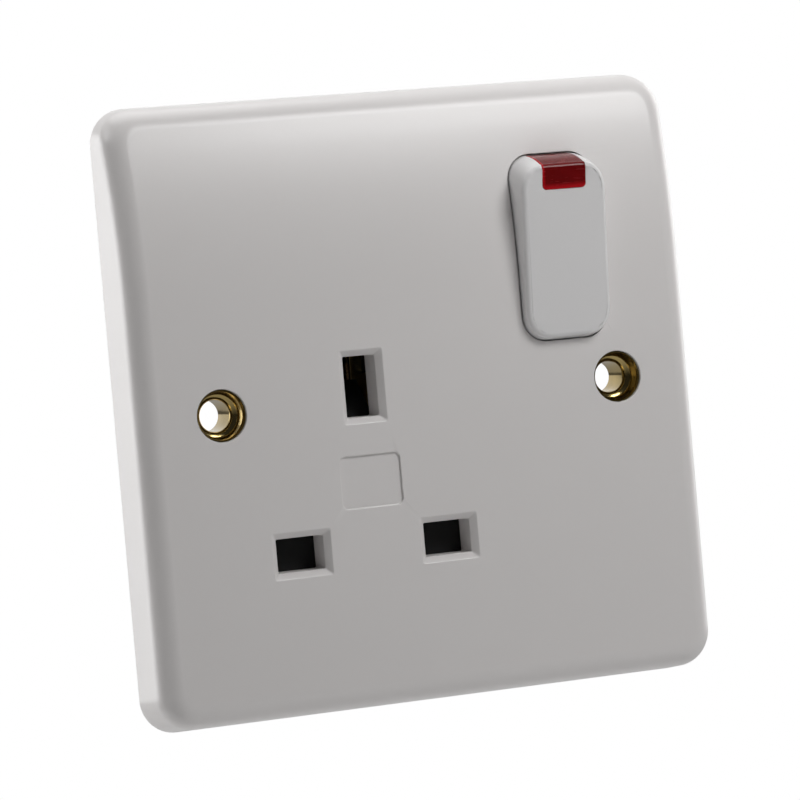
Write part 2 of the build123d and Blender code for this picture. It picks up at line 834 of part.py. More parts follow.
# Shutter: a stem with a sloping ramp for the earth pin and a cross bar that closes the other slots
blade_low = neutral_slot[1] - line_opening[1] / 2 - shutter_under
blade_high = neutral_slot[1] + line_opening[1] / 2 + shutter_over
ramp_foot = earth_slot[1] - earth_opening[1] / 2 - ramp_margin
ramp_head = ramp_foot + shutter_front + ramp_depth
with BuildPart() as shutter:
    with BuildSketch(Plane.YZ.offset(earth_slot[0])):
        with BuildLine():
            Polyline(
                (-shutter_front, blade_low),
                (-shutter_front, ramp_foot),
                (ramp_depth, ramp_head),
                (ramp_depth, ramp_foot - ramp_heel),
                (-shutter_back, ramp_foot - ramp_heel - ramp_depth),
                (-shutter_back, blade_low),
                close=True,
            )
        make_face()
    extrude(amount=shutter_stem_width / 2, both=True)
    with BuildSketch(front_plane(shutter_front)):
        span(
            neutral_slot[0] - line_opening[0] / 2 - shutter_side,
            live_slot[0] + line_opening[0] / 2 + shutter_side,
            blade_low,
            blade_high,
        )
        fillet(vertices(), shutter_corner)
    extrude(amount=-shutter_thickness)
save(shutter.part, "shutter")

spring_rise = (shutter_front + shutter_back) / 2
shutter_spring = coil(
    (earth_slot[0], -spring_rise, spring_post_z + shutter_spring_wire + wire_end_gap),
    (0, 0, 1),
    blade_low - spring_post_z - 2 * (shutter_spring_wire + wire_end_gap),
    shutter_spring_radius,
    shutter_spring_wire,
    shutter_spring_turns,
)
save(shutter_spring, "shutter_spring")

# Neon lamp, its series resistor, the leads and the link to the neutral contact
with BuildPart() as neon_lamp:
    with BuildSketch(Plane.YZ.offset(lamp_x)):
        with Locations((-lamp_rise, lamp_z)):
            Circle(lamp_radius)
    extrude(amount=lamp_length / 2, both=True)
    chamfer(neon_lamp.edges().filter_by(GeomType.CIRCLE), lamp_chamfer)
save(neon_lamp.part, "neon_lamp")

lead_left = lamp_x - lamp_length / 2
lead_right = lamp_x + lamp_length / 2
resistor_x = lead_right + lead_overhang
with BuildPart() as neon_resistor:
    with BuildSketch(front_plane(resistor_rise)):
        with Locations((resistor_x, link_z)):
            Circle(resistor_radius)
    extrude(amount=-resistor_length)
    chamfer(neon_resistor.edges().filter_by(GeomType.CIRCLE), resistor_chamfer)
save(neon_resistor.part, "neon_resistor")

with BuildPart() as lamp_leads:
    add(
        wire_along(
            [
                (lead_left, -lamp_rise, lamp_z),
                (lead_left - lead_overhang, -lamp_rise, lamp_z),
                (lead_left - lead_overhang, strap_depth, lamp_z),
            ],
            lead_radius,
            lead_bend,
        )
    )
    add(
        wire_along(
            [
                (lead_right, -lamp_rise, lamp_z),
                (resistor_x, -lamp_rise, lamp_z),
                (resistor_x, -lamp_rise, link_z),
                (resistor_x, -resistor_rise, link_z),
            ],
            lead_radius,
            lead_bend,
        )
    )
    with BuildSketch(front_plane(resistor_rise - resistor_length)):
        with Locations((resistor_x, link_z)):
            Circle(lead_radius)
    extrude(amount=resistor_length - resistor_rise - link_depth)
save(lamp_leads.part, "lamp_leads")

with BuildPart() as neutral_link:
    with BuildSketch(front_plane(-link_depth)):
        span(link_x - link_width / 2, link_x + link_width / 2, neutral_slot[1] - link_width / 2, link_z)
        span(
            link_x - link_width / 2,
            resistor_x + link_width / 2,
            link_z - link_width / 2,
            link_z + link_width / 2,
        )
    extrude(amount=-link_thickness)
    with BuildSketch(front_plane(-link_depth)):
        span(
            link_x - link_width / 2,
            neutral_slot[0] + line_pin[0] / 2 + contact_margin,
            neutral_slot[1] - link_width / 2,
            neutral_slot[1] + link_width / 2,
        )
    extrude(amount=link_depth - front_sheet_back)
save(neutral_link.part, "neutral_link")

# Rear base: a slab behind the plate, with deeper blocks round the switch, the contacts and the terminals
with BuildPart() as rear_base:
    with BuildSketch(front_plane(base_rise)):
        with Locations(((base_left + base_right) / 2, (base_bottom + base_top) / 2)):
            RectangleRounded(base_right - base_left, base_top - base_bottom, base_corner)
        for side in (-1, 1):
            with Locations((side * (lug_notch_reach + half_plate) / 2, 0)):
                Rectangle(half_plate - lug_notch_reach, lug_notch_height, mode=Mode.SUBTRACT)
    extrude(amount=-base_rise - slab_floor)
    chamfer(rear_base.faces().sort_by(Axis.Y)[-1].edges(), base_edge)
    switch_left = load_strap_left - pocket_gap - pocket_wall
    terminal_left = terminal_places["neutral_terminal"] - terminal_width / 2 - pocket_gap - pocket_wall
    terminal_right = terminal_places["live_terminal"] + terminal_width / 2 + pocket_gap + pocket_wall
    contact_half_height = line_pin[1] / 2 + pin_hole_margin + contact_margin + leaf_thickness
    contact_top = live_slot[1] + contact_half_height + pocket_gap
    earth_pocket_half = earth_plate_width / 2 + pocket_gap
    with BuildSketch(front_plane(block_root - slab_floor)):
        span(
            switch_left,
            base_right - block_inset,
            (lug_notch_height + block_inset) / 2,
            base_top - block_inset,
        )
        span(
            switch_left,
            lug_notch_reach - block_inset,
            terminal_top - block_inset,
            base_top - block_inset,
        )
        fillet(vertices(), block_corner)
    extrude(amount=slab_floor - block_root - switch_floor, taper=base_draft)
    with BuildSketch(front_plane(block_root - slab_floor)):
        span(terminal_left, terminal_right, base_bottom + block_inset / 2, contact_top + pocket_wall)
        span(
            earth_slot[0] - earth_pocket_half - pocket_wall,
            earth_slot[0] + earth_pocket_half + pocket_wall,
            terminal_top,
            earth_plate_top + pocket_gap + pocket_wall,
        )
        fillet(vertices(), block_corner)
    extrude(amount=slab_floor - block_root - terminal_floor, taper=base_draft)

    # Saddle posts that close the trunnion notches from behind
    post_width = 2 * (trunnion_radius - pivot_clearance)
    with BuildSketch(front_plane(base_rise)):
        for side in (-1, 1):
            with Locations((rocker_x + side * (rocker_width / 2 + rocker_gap + well_wall / 2), pivot_z)):
                Rectangle(well_wall - 2 * hole_clearance, post_width)
    extrude(amount=pivot_rise - base_rise)
    with Locations((rocker_x, -pivot_rise, pivot_z)):
        Cylinder(
            trunnion_radius + pivot_clearance,
            rocker_width + 2 * (rocker_gap + well_wall) + cut_over,
            rotation=(0, 90, 0),
            mode=Mode.SUBTRACT,
        )

    # Room for the shutter's ramp, its spring and its stem
    ramp_half = shutter_stem_width / 2 + shutter_clearance
    with BuildSketch(front_plane(base_rise)):
        span(
            earth_slot[0] - ramp_half,
            earth_slot[0] + ramp_half,
            base_bottom,
            earth_plate_top + pocket_gap,
        )
    extrude(amount=-base_rise - front_sheet_back, mode=Mode.SUBTRACT)

    # Layer of the front sheet: the earth bar, its plate, and the live and neutral plates
    plate_half_width = line_pin[0] / 2 + contact_margin + pocket_gap
    tab_half_gap = tab_half_height + pocket_gap
    with BuildSketch(front_plane(base_rise)):
        span(
            -lug_notch_reach,
            lug_notch_reach,
            -earth_bar_width / 2 - pocket_gap,
            earth_bar_width / 2 + pocket_gap,
        )
        span(
            earth_slot[0] - earth_pocket_half,
            earth_slot[0] + earth_pocket_half,
            0,
            earth_plate_top + pocket_gap,
        )
        for slot in (neutral_slot, live_slot):
            with Locations(slot):
                Rectangle(2 * plate_half_width, 2 * (contact_half_height + pocket_gap))
        span(
            neutral_slot[0] - earth_leg_width / 2 - pocket_gap,
            neutral_slot[0] + earth_leg_width / 2 + pocket_gap,
            terminal_bottom,
            neutral_slot[1],
        )
        span(live_slot[0], load_strap_left, live_slot[1] - tab_half_gap, live_slot[1] + tab_half_gap)
    extrude(amount=-base_rise - front_sheet_back, mode=Mode.SUBTRACT)

    # Pockets for the leaves
    with BuildSketch(front_plane(base_rise)):
        with Locations(earth_slot):
            Rectangle(
                2 * earth_pocket_half,
                earth_pin[1] + 2 * (pin_hole_margin + earth_plate_margin + pocket_gap),
            )
    extrude(amount=-base_rise - earth_leaf_depth - pocket_floor_gap, mode=Mode.SUBTRACT)
    with BuildSketch(front_plane(base_rise)):
        for slot in (neutral_slot, live_slot):
            with Locations(slot):
                Rectangle(line_pin[0] + 2 * pocket_gap, 2 * contact_half_height)
        span(
            load_strap_left - sheet - pocket_gap,
            load_strap_left + pocket_gap,
            live_slot[1] - tab_half_gap,
            live_slot[1] + tab_half_gap,
        )
    extrude(amount=-base_rise - line_leaf_depth - pocket_floor_gap, mode=Mode.SUBTRACT)

    # Channels of the two live straps and the chamber of the switch
    half_channel = strap_width / 2 + pocket_gap
    well_half_width = rocker_width / 2 + rocker_gap
    chamber_low = pivot_z - rocker_radius + chamber_foot
    chamber_high = link_z + link_width / 2 + pocket_gap
    with BuildSketch(front_plane(base_rise)):
        span(
            load_strap_x - half_channel,
            load_strap_x + half_channel,
            live_slot[1] - tab_half_gap,
            load_strap_top + pocket_gap,
        )
        span(
            load_strap_x,
            rocker_x,
            load_strap_top - load_strap_head - pocket_gap,
            load_strap_top + pocket_gap,
        )
        span(
            supply_strap_x - half_channel,
            supply_strap_x + half_channel,
            terminal_top,
            pivot_z + ear_width / 2 + pocket_gap,
        )
        span(rocker_x - well_half_width, rocker_x + well_half_width, chamber_low, chamber_high)
    extrude(amount=-base_rise - strap_back, mode=Mode.SUBTRACT)

    # Channel of the neutral link
    half_link = link_width / 2 + pocket_gap
    with BuildSketch(front_plane(base_rise)):
        span(link_x - half_link, link_x + half_link, neutral_slot[1] - half_link, link_z + half_link)
        span(link_x - half_link, rocker_x, link_z - half_link, link_z + half_link)
    extrude(amount=-base_rise - link_depth - link_thickness, mode=Mode.SUBTRACT)

    # Cradle of the lamp: a shelf from the chamber's upper wall with a round seat
    with BuildSketch(front_plane(lamp_rise - lamp_radius - cradle_depth)):
        with Locations((lamp_x, lamp_z + cradle_middle)):
            Rectangle(lamp_length - 2 * cradle_inset, cradle_height)
    extrude(amount=cradle_depth + base_rise - lamp_rise + lamp_radius)
    with Locations((lamp_x, -lamp_rise, lamp_z)):
        Cylinder(
            lamp_radius + cradle_gap,
            lamp_length + cut_over,
            rotation=(0, 90, 0),
            mode=Mode.SUBTRACT,
        )

    # Terminal chambers, open behind for the screws and below for the wires
    with BuildSketch(front_plane(-front_sheet_back)):
        for x in terminal_places.values():
            span(
                x - terminal_width / 2 - pocket_gap,
                x + terminal_width / 2 + pocket_gap,
                base_bottom - cut_over,
                terminal_top + pocket_gap,
            )
    extrude(amount=front_sheet_back - terminal_floor - cut_over, mode=Mode.SUBTRACT)

    # Stepped holes for the base screws
    with BuildSketch(front_plane(base_rise)):
        with Locations(*base_screw_places):
            Circle(base_screw_radius + hole_clearance)
    extrude(amount=-base_rise - terminal_floor, mode=Mode.SUBTRACT)
    with BuildSketch(front_plane(-base_screw_seat)):
        with Locations(*base_screw_places):
            Circle(base_screw_head_radius + head_well_gap)
    extrude(amount=-terminal_floor, mode=Mode.SUBTRACT)
save(rear_base.part, "rear_base")
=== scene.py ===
import math

import bmesh
import bpy
from mathutils import Matrix, Vector


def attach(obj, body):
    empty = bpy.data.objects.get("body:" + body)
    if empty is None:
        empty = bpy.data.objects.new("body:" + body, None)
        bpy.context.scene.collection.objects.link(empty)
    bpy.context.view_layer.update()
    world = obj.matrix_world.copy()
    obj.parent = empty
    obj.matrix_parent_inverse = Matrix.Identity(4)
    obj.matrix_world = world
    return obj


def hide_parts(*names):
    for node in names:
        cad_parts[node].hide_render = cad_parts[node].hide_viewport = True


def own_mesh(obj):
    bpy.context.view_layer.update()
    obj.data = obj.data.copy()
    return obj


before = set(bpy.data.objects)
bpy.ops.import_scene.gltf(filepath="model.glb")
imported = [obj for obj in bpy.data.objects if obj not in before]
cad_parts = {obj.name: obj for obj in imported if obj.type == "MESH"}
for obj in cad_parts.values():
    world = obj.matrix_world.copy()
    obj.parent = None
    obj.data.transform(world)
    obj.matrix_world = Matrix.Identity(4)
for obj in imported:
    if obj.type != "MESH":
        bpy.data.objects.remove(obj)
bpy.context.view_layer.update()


# Camera
# The outlet was photographed from its left and a little above, with a long lens rolled by five degrees.
# The numbers are that camera's place and turn in the part's own frame.
camera_place = (-0.23561, -0.54870, 0.01806)
camera_turn = (88.210, 4.970, -23.367)
bpy.ops.object.select_all(action="DESELECT")
bpy.ops.object.camera_add(
    location=camera_place, rotation=[math.radians(turn) for turn in camera_turn]
)
camera = bpy.context.object
camera.data.lens = 190.88
camera.data.sensor_width = 36.0
camera.data.clip_start = 0.01
camera.data.clip_end = 30.0
bpy.context.scene.camera = camera
bpy.context.scene.view_settings.view_transform = "Standard"


# Studio
# A pale floor below the outlet, and white all round it that the camera and clear plastic see. Glossy
# surfaces mirror the white behind the outlet and the lit floor, and soft panels stand round it.
floor_height = -0.16
floor_half = 4.0
room_light = 0.05
backdrop_start = 0.0
backdrop_full = 0.35
panels = (
    ("panel_front", (0.13, -0.22, 0.21), 0.14, 0.56),
    ("panel_above", (0.01, 0.17, 0.80), 0.60, 2.5),
    ("panel_left", (-0.70, 0.55, 0.10), 0.60, 4.2),
    ("panel_right", (0.80, 0.30, 0.10), 0.60, 1.6),
    ("panel_corner", (-0.22, 0.00, 0.20), 0.10, 0.09),
)


def blank(name, settings):
    """A new material with its nodes, links and shader, and the shader's plain settings."""
    material = bpy.data.materials.new(name)
    material.use_nodes = True
    tree = material.node_tree
    shader = tree.nodes["Principled BSDF"]
    for key, value in settings.items():
        shader.inputs[key].default_value = value
    return material, tree.nodes, tree.links, shader


def join(links, *pairs):
    """Links the output of each pair to its input."""
    for source, target in pairs:
        links.new(source, target)


def maths(nodes, operation, second=0.5):
    """A node that works out one number from others."""
    step = nodes.new("ShaderNodeMath")
    step.operation = operation
    step.inputs[1].default_value = second
    return step


def remap(nodes, low, high, new_low=0.0, new_high=1.0):
    """A node that carries the values from low to high over to another span."""
    span = nodes.new("ShaderNodeMapRange")
    for name, value in (("From Min", low), ("From Max", high), ("To Min", new_low), ("To Max", new_high)):
        span.inputs[name].default_value = value
    return span


bpy.ops.mesh.primitive_plane_add(size=2 * floor_half, location=(0, 0, floor_height))
floor = bpy.context.object
floor.name = "floor"
settings = {"Base Color": (0.85, 0.85, 0.85, 1), "Roughness": 0.8}
paint, nodes, links, paint_shader = blank("floor_paint", settings)
white = nodes.new("ShaderNodeEmission")
white.inputs["Color"].default_value = (1, 1, 1, 1)
white.inputs["Strength"].default_value = 1.0
light_path = nodes.new("ShaderNodeLightPath")
direct = maths(nodes, "MAXIMUM")
whichever = nodes.new("ShaderNodeMixShader")
join(
    links,
    (light_path.outputs["Is Camera Ray"], direct.inputs[0]),
    (light_path.outputs["Is Transmission Ray"], direct.inputs[1]),
    (direct.outputs[0], whichever.inputs[0]),
    (paint_shader.outputs[0], whichever.inputs[1]),
    (white.outputs[0], whichever.inputs[2]),
    (whichever.outputs[0], nodes["Material Output"].inputs["Surface"]),
)
floor.data.materials.append(paint)

world = bpy.data.worlds.new("studio")
bpy.context.scene.world = world
world.use_nodes = True
nodes, links = world.node_tree.nodes, world.node_tree.links
background = nodes["Background"]
background.inputs["Color"].default_value = (1, 1, 1, 1)
light_path = nodes.new("ShaderNodeLightPath")
seen = maths(nodes, "MAXIMUM")
towards = nodes.new("ShaderNodeTexCoord")
axes = nodes.new("ShaderNodeSeparateXYZ")
behind = remap(nodes, backdrop_start, backdrop_full)
mirrored = maths(nodes, "MULTIPLY")
either = maths(nodes, "MAXIMUM")
level = remap(nodes, 0.0, 1.0, room_light, 1.0)
join(
    links,
    (light_path.outputs["Is Camera Ray"], seen.inputs[0]),
    (light_path.outputs["Is Transmission Ray"], seen.inputs[1]),
    (towards.outputs["Generated"], axes.inputs["Vector"]),
    (axes.outputs["Y"], behind.inputs["Value"]),
    (behind.outputs["Result"], mirrored.inputs[0]),
    (light_path.outputs["Is Glossy Ray"], mirrored.inputs[1]),
    (seen.outputs[0], either.inputs[0]),
    (mirrored.outputs[0], either.inputs[1]),
    (either.outputs[0], level.inputs["Value"]),
    (level.outputs["Result"], background.inputs["Strength"]),
)

for name, place, size, power in panels:
    aim = Vector(place).to_track_quat("Z", "Y").to_euler()
    bpy.ops.object.light_add(type="AREA", location=place, rotation=aim)
    panel = bpy.context.object
    panel.name = name
    panel.data.shape = "SQUARE"
    panel.data.size = size
    panel.data.energy = power


# Front plate
# One gloss white moulding, 86 mm square. Its sides lean in so that it leaves the mould, its front edges are
# rounded, and the upper third of its face bends back. Behind the face are slot tunnels, a well and bosses.
plate_half = 0.0430
plate_rise = 0.0078
plate_corner = 0.0050
plate_lean = math.tan(math.radians(7.6))
plate_edge = 0.00285
face_wall = 0.0025
side_wall = 0.0022
bend_start = 0.0160
bend_radius = 0.100
bend_rows = 22
crisp_edge = 0.00012
fixing_x = 0.03015
rim_radius = 0.003625
bore_radius = 0.00275
boss_radius = 0.0046
boss_back = 0.00115
slot_bevel = 0.00088
tunnel_front = 0.0033
tunnel_wall = 0.0012
slots = (
    ("earth", -0.0090, 0.00215, 0.0048, 0.0085),
    ("neutral", -0.0201, -0.02005, 0.0070, 0.0047),
    ("live", 0.0021, -0.02005, 0.0070, 0.0047),
)
recess = (-0.00893, -0.01099, 0.0091, 0.0073)
recess_depth = 0.00035
recess_corner = 0.0008
rocker_x = 0.02275
pivot_y = -0.00467
pivot_z = 0.01905
pivot = (rocker_x, pivot_y, pivot_z)
rocker_half = 0.0065
rocker_radius = 0.01327
rocker_corner = 0.0034
rocker_gap = 0.0002
well_wall = 0.0016
well_back = 0.0010
base_front = 0.0009
notch_radius = 0.0013
screw_boss_radius = 0.0032
screw_hole_radius = 0.0015
screw_hole_top = 0.0047
overlap = 0.0003
near = 1e-6
clear_front = -0.009
clear_back = 0.001
eyelet_seat = -0.0049
notch_reach = 0.0095
rail_offset = 0.0041
rail_middle = -0.0090
rail_wide = 0.0012
rail_high = 0.0110
post_middle = -0.0348
post_wide = 0.0060
post_high = 0.0016
slot_edge = 0.00022
lip_front = 0.0005
screw_places = ((-0.0280, -0.0265), (-0.0280, 0.0265), (0.0284, -0.0265), (0.0036, 0.0225))


def alone(piece):
    """Makes a piece the only selected one."""
    bpy.ops.object.select_all(action="DESELECT")
    piece.select_set(True)
    bpy.context.view_layer.objects.active = piece


def edit(piece, kind, chosen):
    """Opens a piece in edit mode with only the chosen vertices, edges or faces selected."""
    alone(piece)
    bpy.ops.object.mode_set(mode="EDIT")
    bpy.ops.mesh.select_mode(type=kind)
    bpy.ops.mesh.select_all(action="DESELECT")
    mesh = bmesh.from_edit_mesh(piece.data)
    for part in {"VERT": mesh.verts, "EDGE": mesh.edges, "FACE": mesh.faces}[kind]:
        if chosen(part):
            part.select_set(True)
    mesh.select_flush_mode()
    bmesh.update_edit_mesh(piece.data)


def whole(piece):
    """Opens a piece in edit mode with all of it selected."""
    edit(piece, "VERT", lambda v: True)
    bpy.ops.mesh.select_all(action="SELECT")


def close():
    """Goes back to object mode."""
    bpy.ops.object.mode_set(mode="OBJECT")


def round_edges(piece, radius, steps, chosen):
    """Rounds the chosen edges of a piece."""
    edit(piece, "EDGE", chosen)
    bpy.ops.mesh.bevel(offset=radius, segments=steps, affect="EDGES")
    close()


def settle(piece):
    """Puts a piece's place and turn into its mesh."""
    alone(piece)
    bpy.ops.object.transform_apply(location=True, rotation=True, scale=True)


def block(name, x, z, wide, high, front, back, corner=0.0, steps=8):
    """A block between two Y values about a middle point, the four edges along Y rounded."""
    bpy.ops.object.select_all(action="DESELECT")
    bpy.ops.mesh.primitive_cube_add(size=1, location=(x, (front + back) / 2, z))
    piece = bpy.context.object
    piece.name = name
    piece.scale = (wide, back - front, high)
    settle(piece)
    if corner > 0:
        round_edges(
            piece, corner, steps, lambda e: abs(e.verts[0].co.y - e.verts[1].co.y) > (back - front) / 2
        )
    return piece


def turned(name, centre, axis, profile, tube=False, steps=64):
    """A turned piece: a ring carried along (radius, reach) pairs, reach measured along X, Y or Z."""
    bpy.ops.object.select_all(action="DESELECT")
    radius, reach = profile[0]
    bpy.ops.mesh.primitive_circle_add(
        vertices=steps, radius=radius, fill_type="NOTHING" if tube else "NGON"
    )
    piece = bpy.context.object
    piece.name = name
    bpy.ops.object.mode_set(mode="EDIT")
    bpy.ops.mesh.select_all(action="SELECT")
    bpy.ops.transform.translate(value=(0, 0, reach))
    for next_radius, next_reach in profile[1:]:
        bpy.ops.mesh.extrude_region_move()
        bpy.ops.transform.translate(value=(0, 0, next_reach - reach))
        widen = next_radius / radius
        bpy.ops.transform.resize(value=(widen, widen, 1), center_override=(0, 0, next_reach))
        radius, reach = next_radius, next_reach
    bpy.ops.mesh.select_all(action="SELECT")
    bpy.ops.mesh.remove_doubles(threshold=1e-7)
    bpy.ops.mesh.normals_make_consistent(inside=False)
    close()
    piece.rotation_euler = {
        "X": (0, math.pi / 2, 0),
        "Y": (-math.pi / 2, 0, 0),
        "Z": (0, 0, 0),
    }[axis]
    piece.location = centre
    settle(piece)
    return piece


def rod(name, centre, axis, radius, start, end, steps=64):
    """A plain round rod between two reaches along X, Y or Z."""
    return turned(name, centre, axis, ((radius, start), (radius, end)), steps=steps)


def combine(piece, tool, operation="DIFFERENCE"):
    """Cuts a piece with a tool, or joins or intersects the two. The tool is used up."""
    change = piece.modifiers.new("combine", "BOOLEAN")
    change.operation = operation
    change.solver = "EXACT"
    change.object = tool
    alone(piece)
    bpy.ops.object.modifier_apply(modifier=change.name)
    bpy.data.objects.remove(tool)


def soften(piece, width, turn=30.0, segments=2):
    """Small rounds on the sharp edges, and shading that leaves the flats flat."""
    alone(piece)
    if width > 0:
        rounds = piece.modifiers.new("rounds", "BEVEL")
        rounds.width = width
        rounds.segments = segments
        rounds.limit_method = "ANGLE"
        rounds.angle_limit = math.radians(turn)
        rounds.use_clamp_overlap = False
        rounds.harden_normals = False
        bpy.ops.object.modifier_apply(modifier=rounds.name)
    split = piece.modifiers.new("split", "TRIANGULATE")
    split.min_vertices = 5
    bpy.ops.object.modifier_apply(modifier=split.name)
    bpy.ops.object.shade_smooth_by_angle(angle=math.radians(turn + 15))
    flats = piece.modifiers.new("flats", "WEIGHTED_NORMAL")
    flats.keep_sharp = True
    bpy.ops.object.modifier_apply(modifier=flats.name)


def plate_block(name, half, rise, corner, radius, edge):
    """A solid of the plate's form on the wall plane, for the outside and for the hollow behind it."""
    piece = block(name, 0, 0, 2 * half, 2 * half, -rise, 0, corner, 14)
    whole(piece)
    for row in range(bend_rows):
        height = bend_start + (half - corner - bend_start) * row / (bend_rows - 1)
        bpy.ops.mesh.select_all(action="SELECT")
        bpy.ops.mesh.bisect(plane_co=(0, 0, height), plane_no=(0, 0, 1))
    close()

    heights = sorted({round(v.co.z, 7) for v in piece.data.vertices if v.co.y < -rise / 2})
    for height in heights:
        shrink = 1.0
        for _ in range(4):
            run = max(0.0, height * shrink - bend_start)
            drop = radius - math.sqrt(radius * radius - run * run)
            shrink = (half - (rise - drop) * plate_lean) / half
        edit(piece, "VERT", lambda v: abs(v.co.z - height) < 2e-7 and v.co.y < -rise + 1e-7)
        bpy.ops.transform.resize(value=(shrink, 1, shrink), center_override=(0, 0, 0))
        bpy.ops.transform.translate(value=(0, drop, 0))
        close()

    shared = {}
    for face in piece.data.polygons:
        if face.normal.y < -0.7:
            for key in face.edge_keys:
                shared[key] = shared.get(key, 0) + 1
    rim = {key for key, count in shared.items() if count == 1}
    if edge > 0:
        round_edges(piece, edge, 12, lambda e: tuple(sorted(v.index for v in e.verts)) in rim)
    return piece


def barrel(name, grow, steps=160):
    """The rocker's rounded drum, turned about its pivot, larger or smaller by a margin."""
    half, radius, corner = rocker_half + grow, rocker_radius + grow, rocker_corner + grow
    arc = [math.radians(step * 7.5) for step in range(13)]
    left = [
        (radius - corner + corner * math.sin(turn), -half + corner - corner * math.cos(turn))
        for turn in arc
    ]
    right = [(ring, -reach) for ring, reach in reversed(left)]
    return turned(name, pivot, "X", left + right, steps=steps)


plate = plate_block("plate_shell", plate_half, plate_rise, plate_corner, bend_radius, plate_edge)
hollow = plate_block(
    "plate_hollow",
    plate_half - side_wall,
    plate_rise - face_wall,
    plate_corner - side_wall,
    bend_radius - face_wall,
    0,
)
combine(plate, hollow)
inside = -plate_rise + face_wall - overlap
for name, x, z, wide, high in slots:
    combine(
        plate,
        block("tunnel", x, z, wide + 2 * tunnel_wall, high + 2 * tunnel_wall, inside, -tunnel_front),
        "UNION",
    )
combine(
    plate,
    block(
        "well",
        rocker_x,
        pivot_z,
        2 * (rocker_half + rocker_gap + well_wall),
        2 * (rocker_radius + rocker_gap + well_wall),
        inside,
        -well_back,
        rocker_corner + well_wall,
    ),
    "UNION",
)
for x, z in screw_places:
    boss = rod("boss", (x, 0, z), "Y", screw_boss_radius, inside, -base_front)
    combine(plate, boss, "UNION")
for side in (-1, 1):
    boss = rod("boss", (side * fixing_x, 0, 0), "Y", boss_radius, inside, -boss_back)
    combine(plate, boss, "UNION")
    rail_x = slots[0][1] + side * rail_offset
    rail = block("rail", rail_x, rail_middle, rail_wide, rail_high, inside, -well_back)
    combine(plate, rail, "UNION")
post = block("post", slots[0][1], post_middle, post_wide, post_high, inside, -well_back)
combine(plate, post, "UNION")
combine(plate, barrel("opening", rocker_gap))
combine(plate, rod("notch", pivot, "X", notch_radius, -notch_reach, notch_reach))
notch_way = block("notch_way", rocker_x, pivot_z, 2 * notch_reach, 2 * notch_radius, pivot_y, clear_back)
combine(plate, notch_way)
for name, x, z, wide, high in slots:
    combine(plate, block("pin_way", x, z, wide, high, clear_front, clear_back, slot_edge, 3))
    lip = slot_bevel + lip_front
    mouth = block(
        "mouth", x, z, wide, high, -plate_rise - lip_front, -plate_rise + slot_bevel, slot_edge, 3
    )
    edit(mouth, "VERT", lambda v: v.co.y < -plate_rise)
    bpy.ops.transform.resize(
        value=(1 + 2 * lip / wide, 1, 1 + 2 * lip / high), center_override=(x, 0, z)
    )
    close()
    combine(plate, mouth)
x, z, wide, high = recess
combine(
    plate, block("recess", x, z, wide, high, clear_front, -plate_rise + recess_depth, recess_corner)
)
for side in (-1, 1):
    seat = turned(
        "seat",
        (side * fixing_x, 0, 0),
        "Y",
        (
            (rim_radius, clear_front),
            (rim_radius, eyelet_seat),
            (bore_radius, eyelet_seat),
            (bore_radius, clear_back),
        ),
    )
    combine(plate, seat)
for x, z in screw_places:
    combine(plate, rod("hole", (x, 0, z), "Y", screw_hole_radius, -screw_hole_top, clear_back, 32))
soften(plate, crisp_edge)


def noise(nodes, scale, detail=2.0):
    """A cloudy texture, finer with a larger scale."""
    texture = nodes.new("ShaderNodeTexNoise")
    texture.inputs["Scale"].default_value = scale
    texture.inputs["Detail"].default_value = detail
    return texture


def ramp(nodes, *stops):
    """A colour ramp between two stops, each a position and a colour."""
    tint = nodes.new("ShaderNodeValToRGB")
    for element, (position, colour) in zip(tint.color_ramp.elements, stops):
        element.position = position
        element.color = (*colour, 1)
    return tint


def relief(nodes, strength, distance):
    """A bump of a given strength and height."""
    bump = nodes.new("ShaderNodeBump")
    bump.inputs["Strength"].default_value = strength
    bump.inputs["Distance"].default_value = distance
    return bump


def moulding(name, colour, roughness, speck=0.004, orange_peel=0.02):
    """A moulded plastic: its colour with faint clouding, an uneven gloss and a fine skin texture."""
    plastic, nodes, links, shader = blank(name, {"IOR": 1.55})
    place = nodes.new("ShaderNodeTexCoord")
    cloud = noise(nodes, 60.0, 3.0)
    tint = ramp(nodes, (0.3, [value * (1 - speck) for value in colour]), (0.7, colour))
    gloss = remap(nodes, 0.0, 1.0, roughness - 0.03, roughness + 0.03)
    skin = noise(nodes, 2600.0)
    bump = relief(nodes, orange_peel, 0.0002)
    join(
        links,
        (place.outputs["Object"], cloud.inputs["Vector"]),
        (place.outputs["Object"], skin.inputs["Vector"]),
        (cloud.outputs["Fac"], tint.inputs["Fac"]),
        (cloud.outputs["Fac"], gloss.inputs["Value"]),
        (tint.outputs["Color"], shader.inputs["Base Color"]),
        (gloss.outputs["Result"], shader.inputs["Roughness"]),
        (skin.outputs["Fac"], bump.inputs["Height"]),
        (bump.outputs["Normal"], shader.inputs["Normal"]),
    )
    return plastic


def finish(piece, material):
    """Gives a piece one material all over."""
    piece.data.materials.clear()
    piece.data.materials.append(material)


white_plastic = moulding("white_plastic", (0.80, 0.775, 0.765), 0.30)
finish(plate, white_plastic)
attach(plate, "housing")
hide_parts("front_plate")


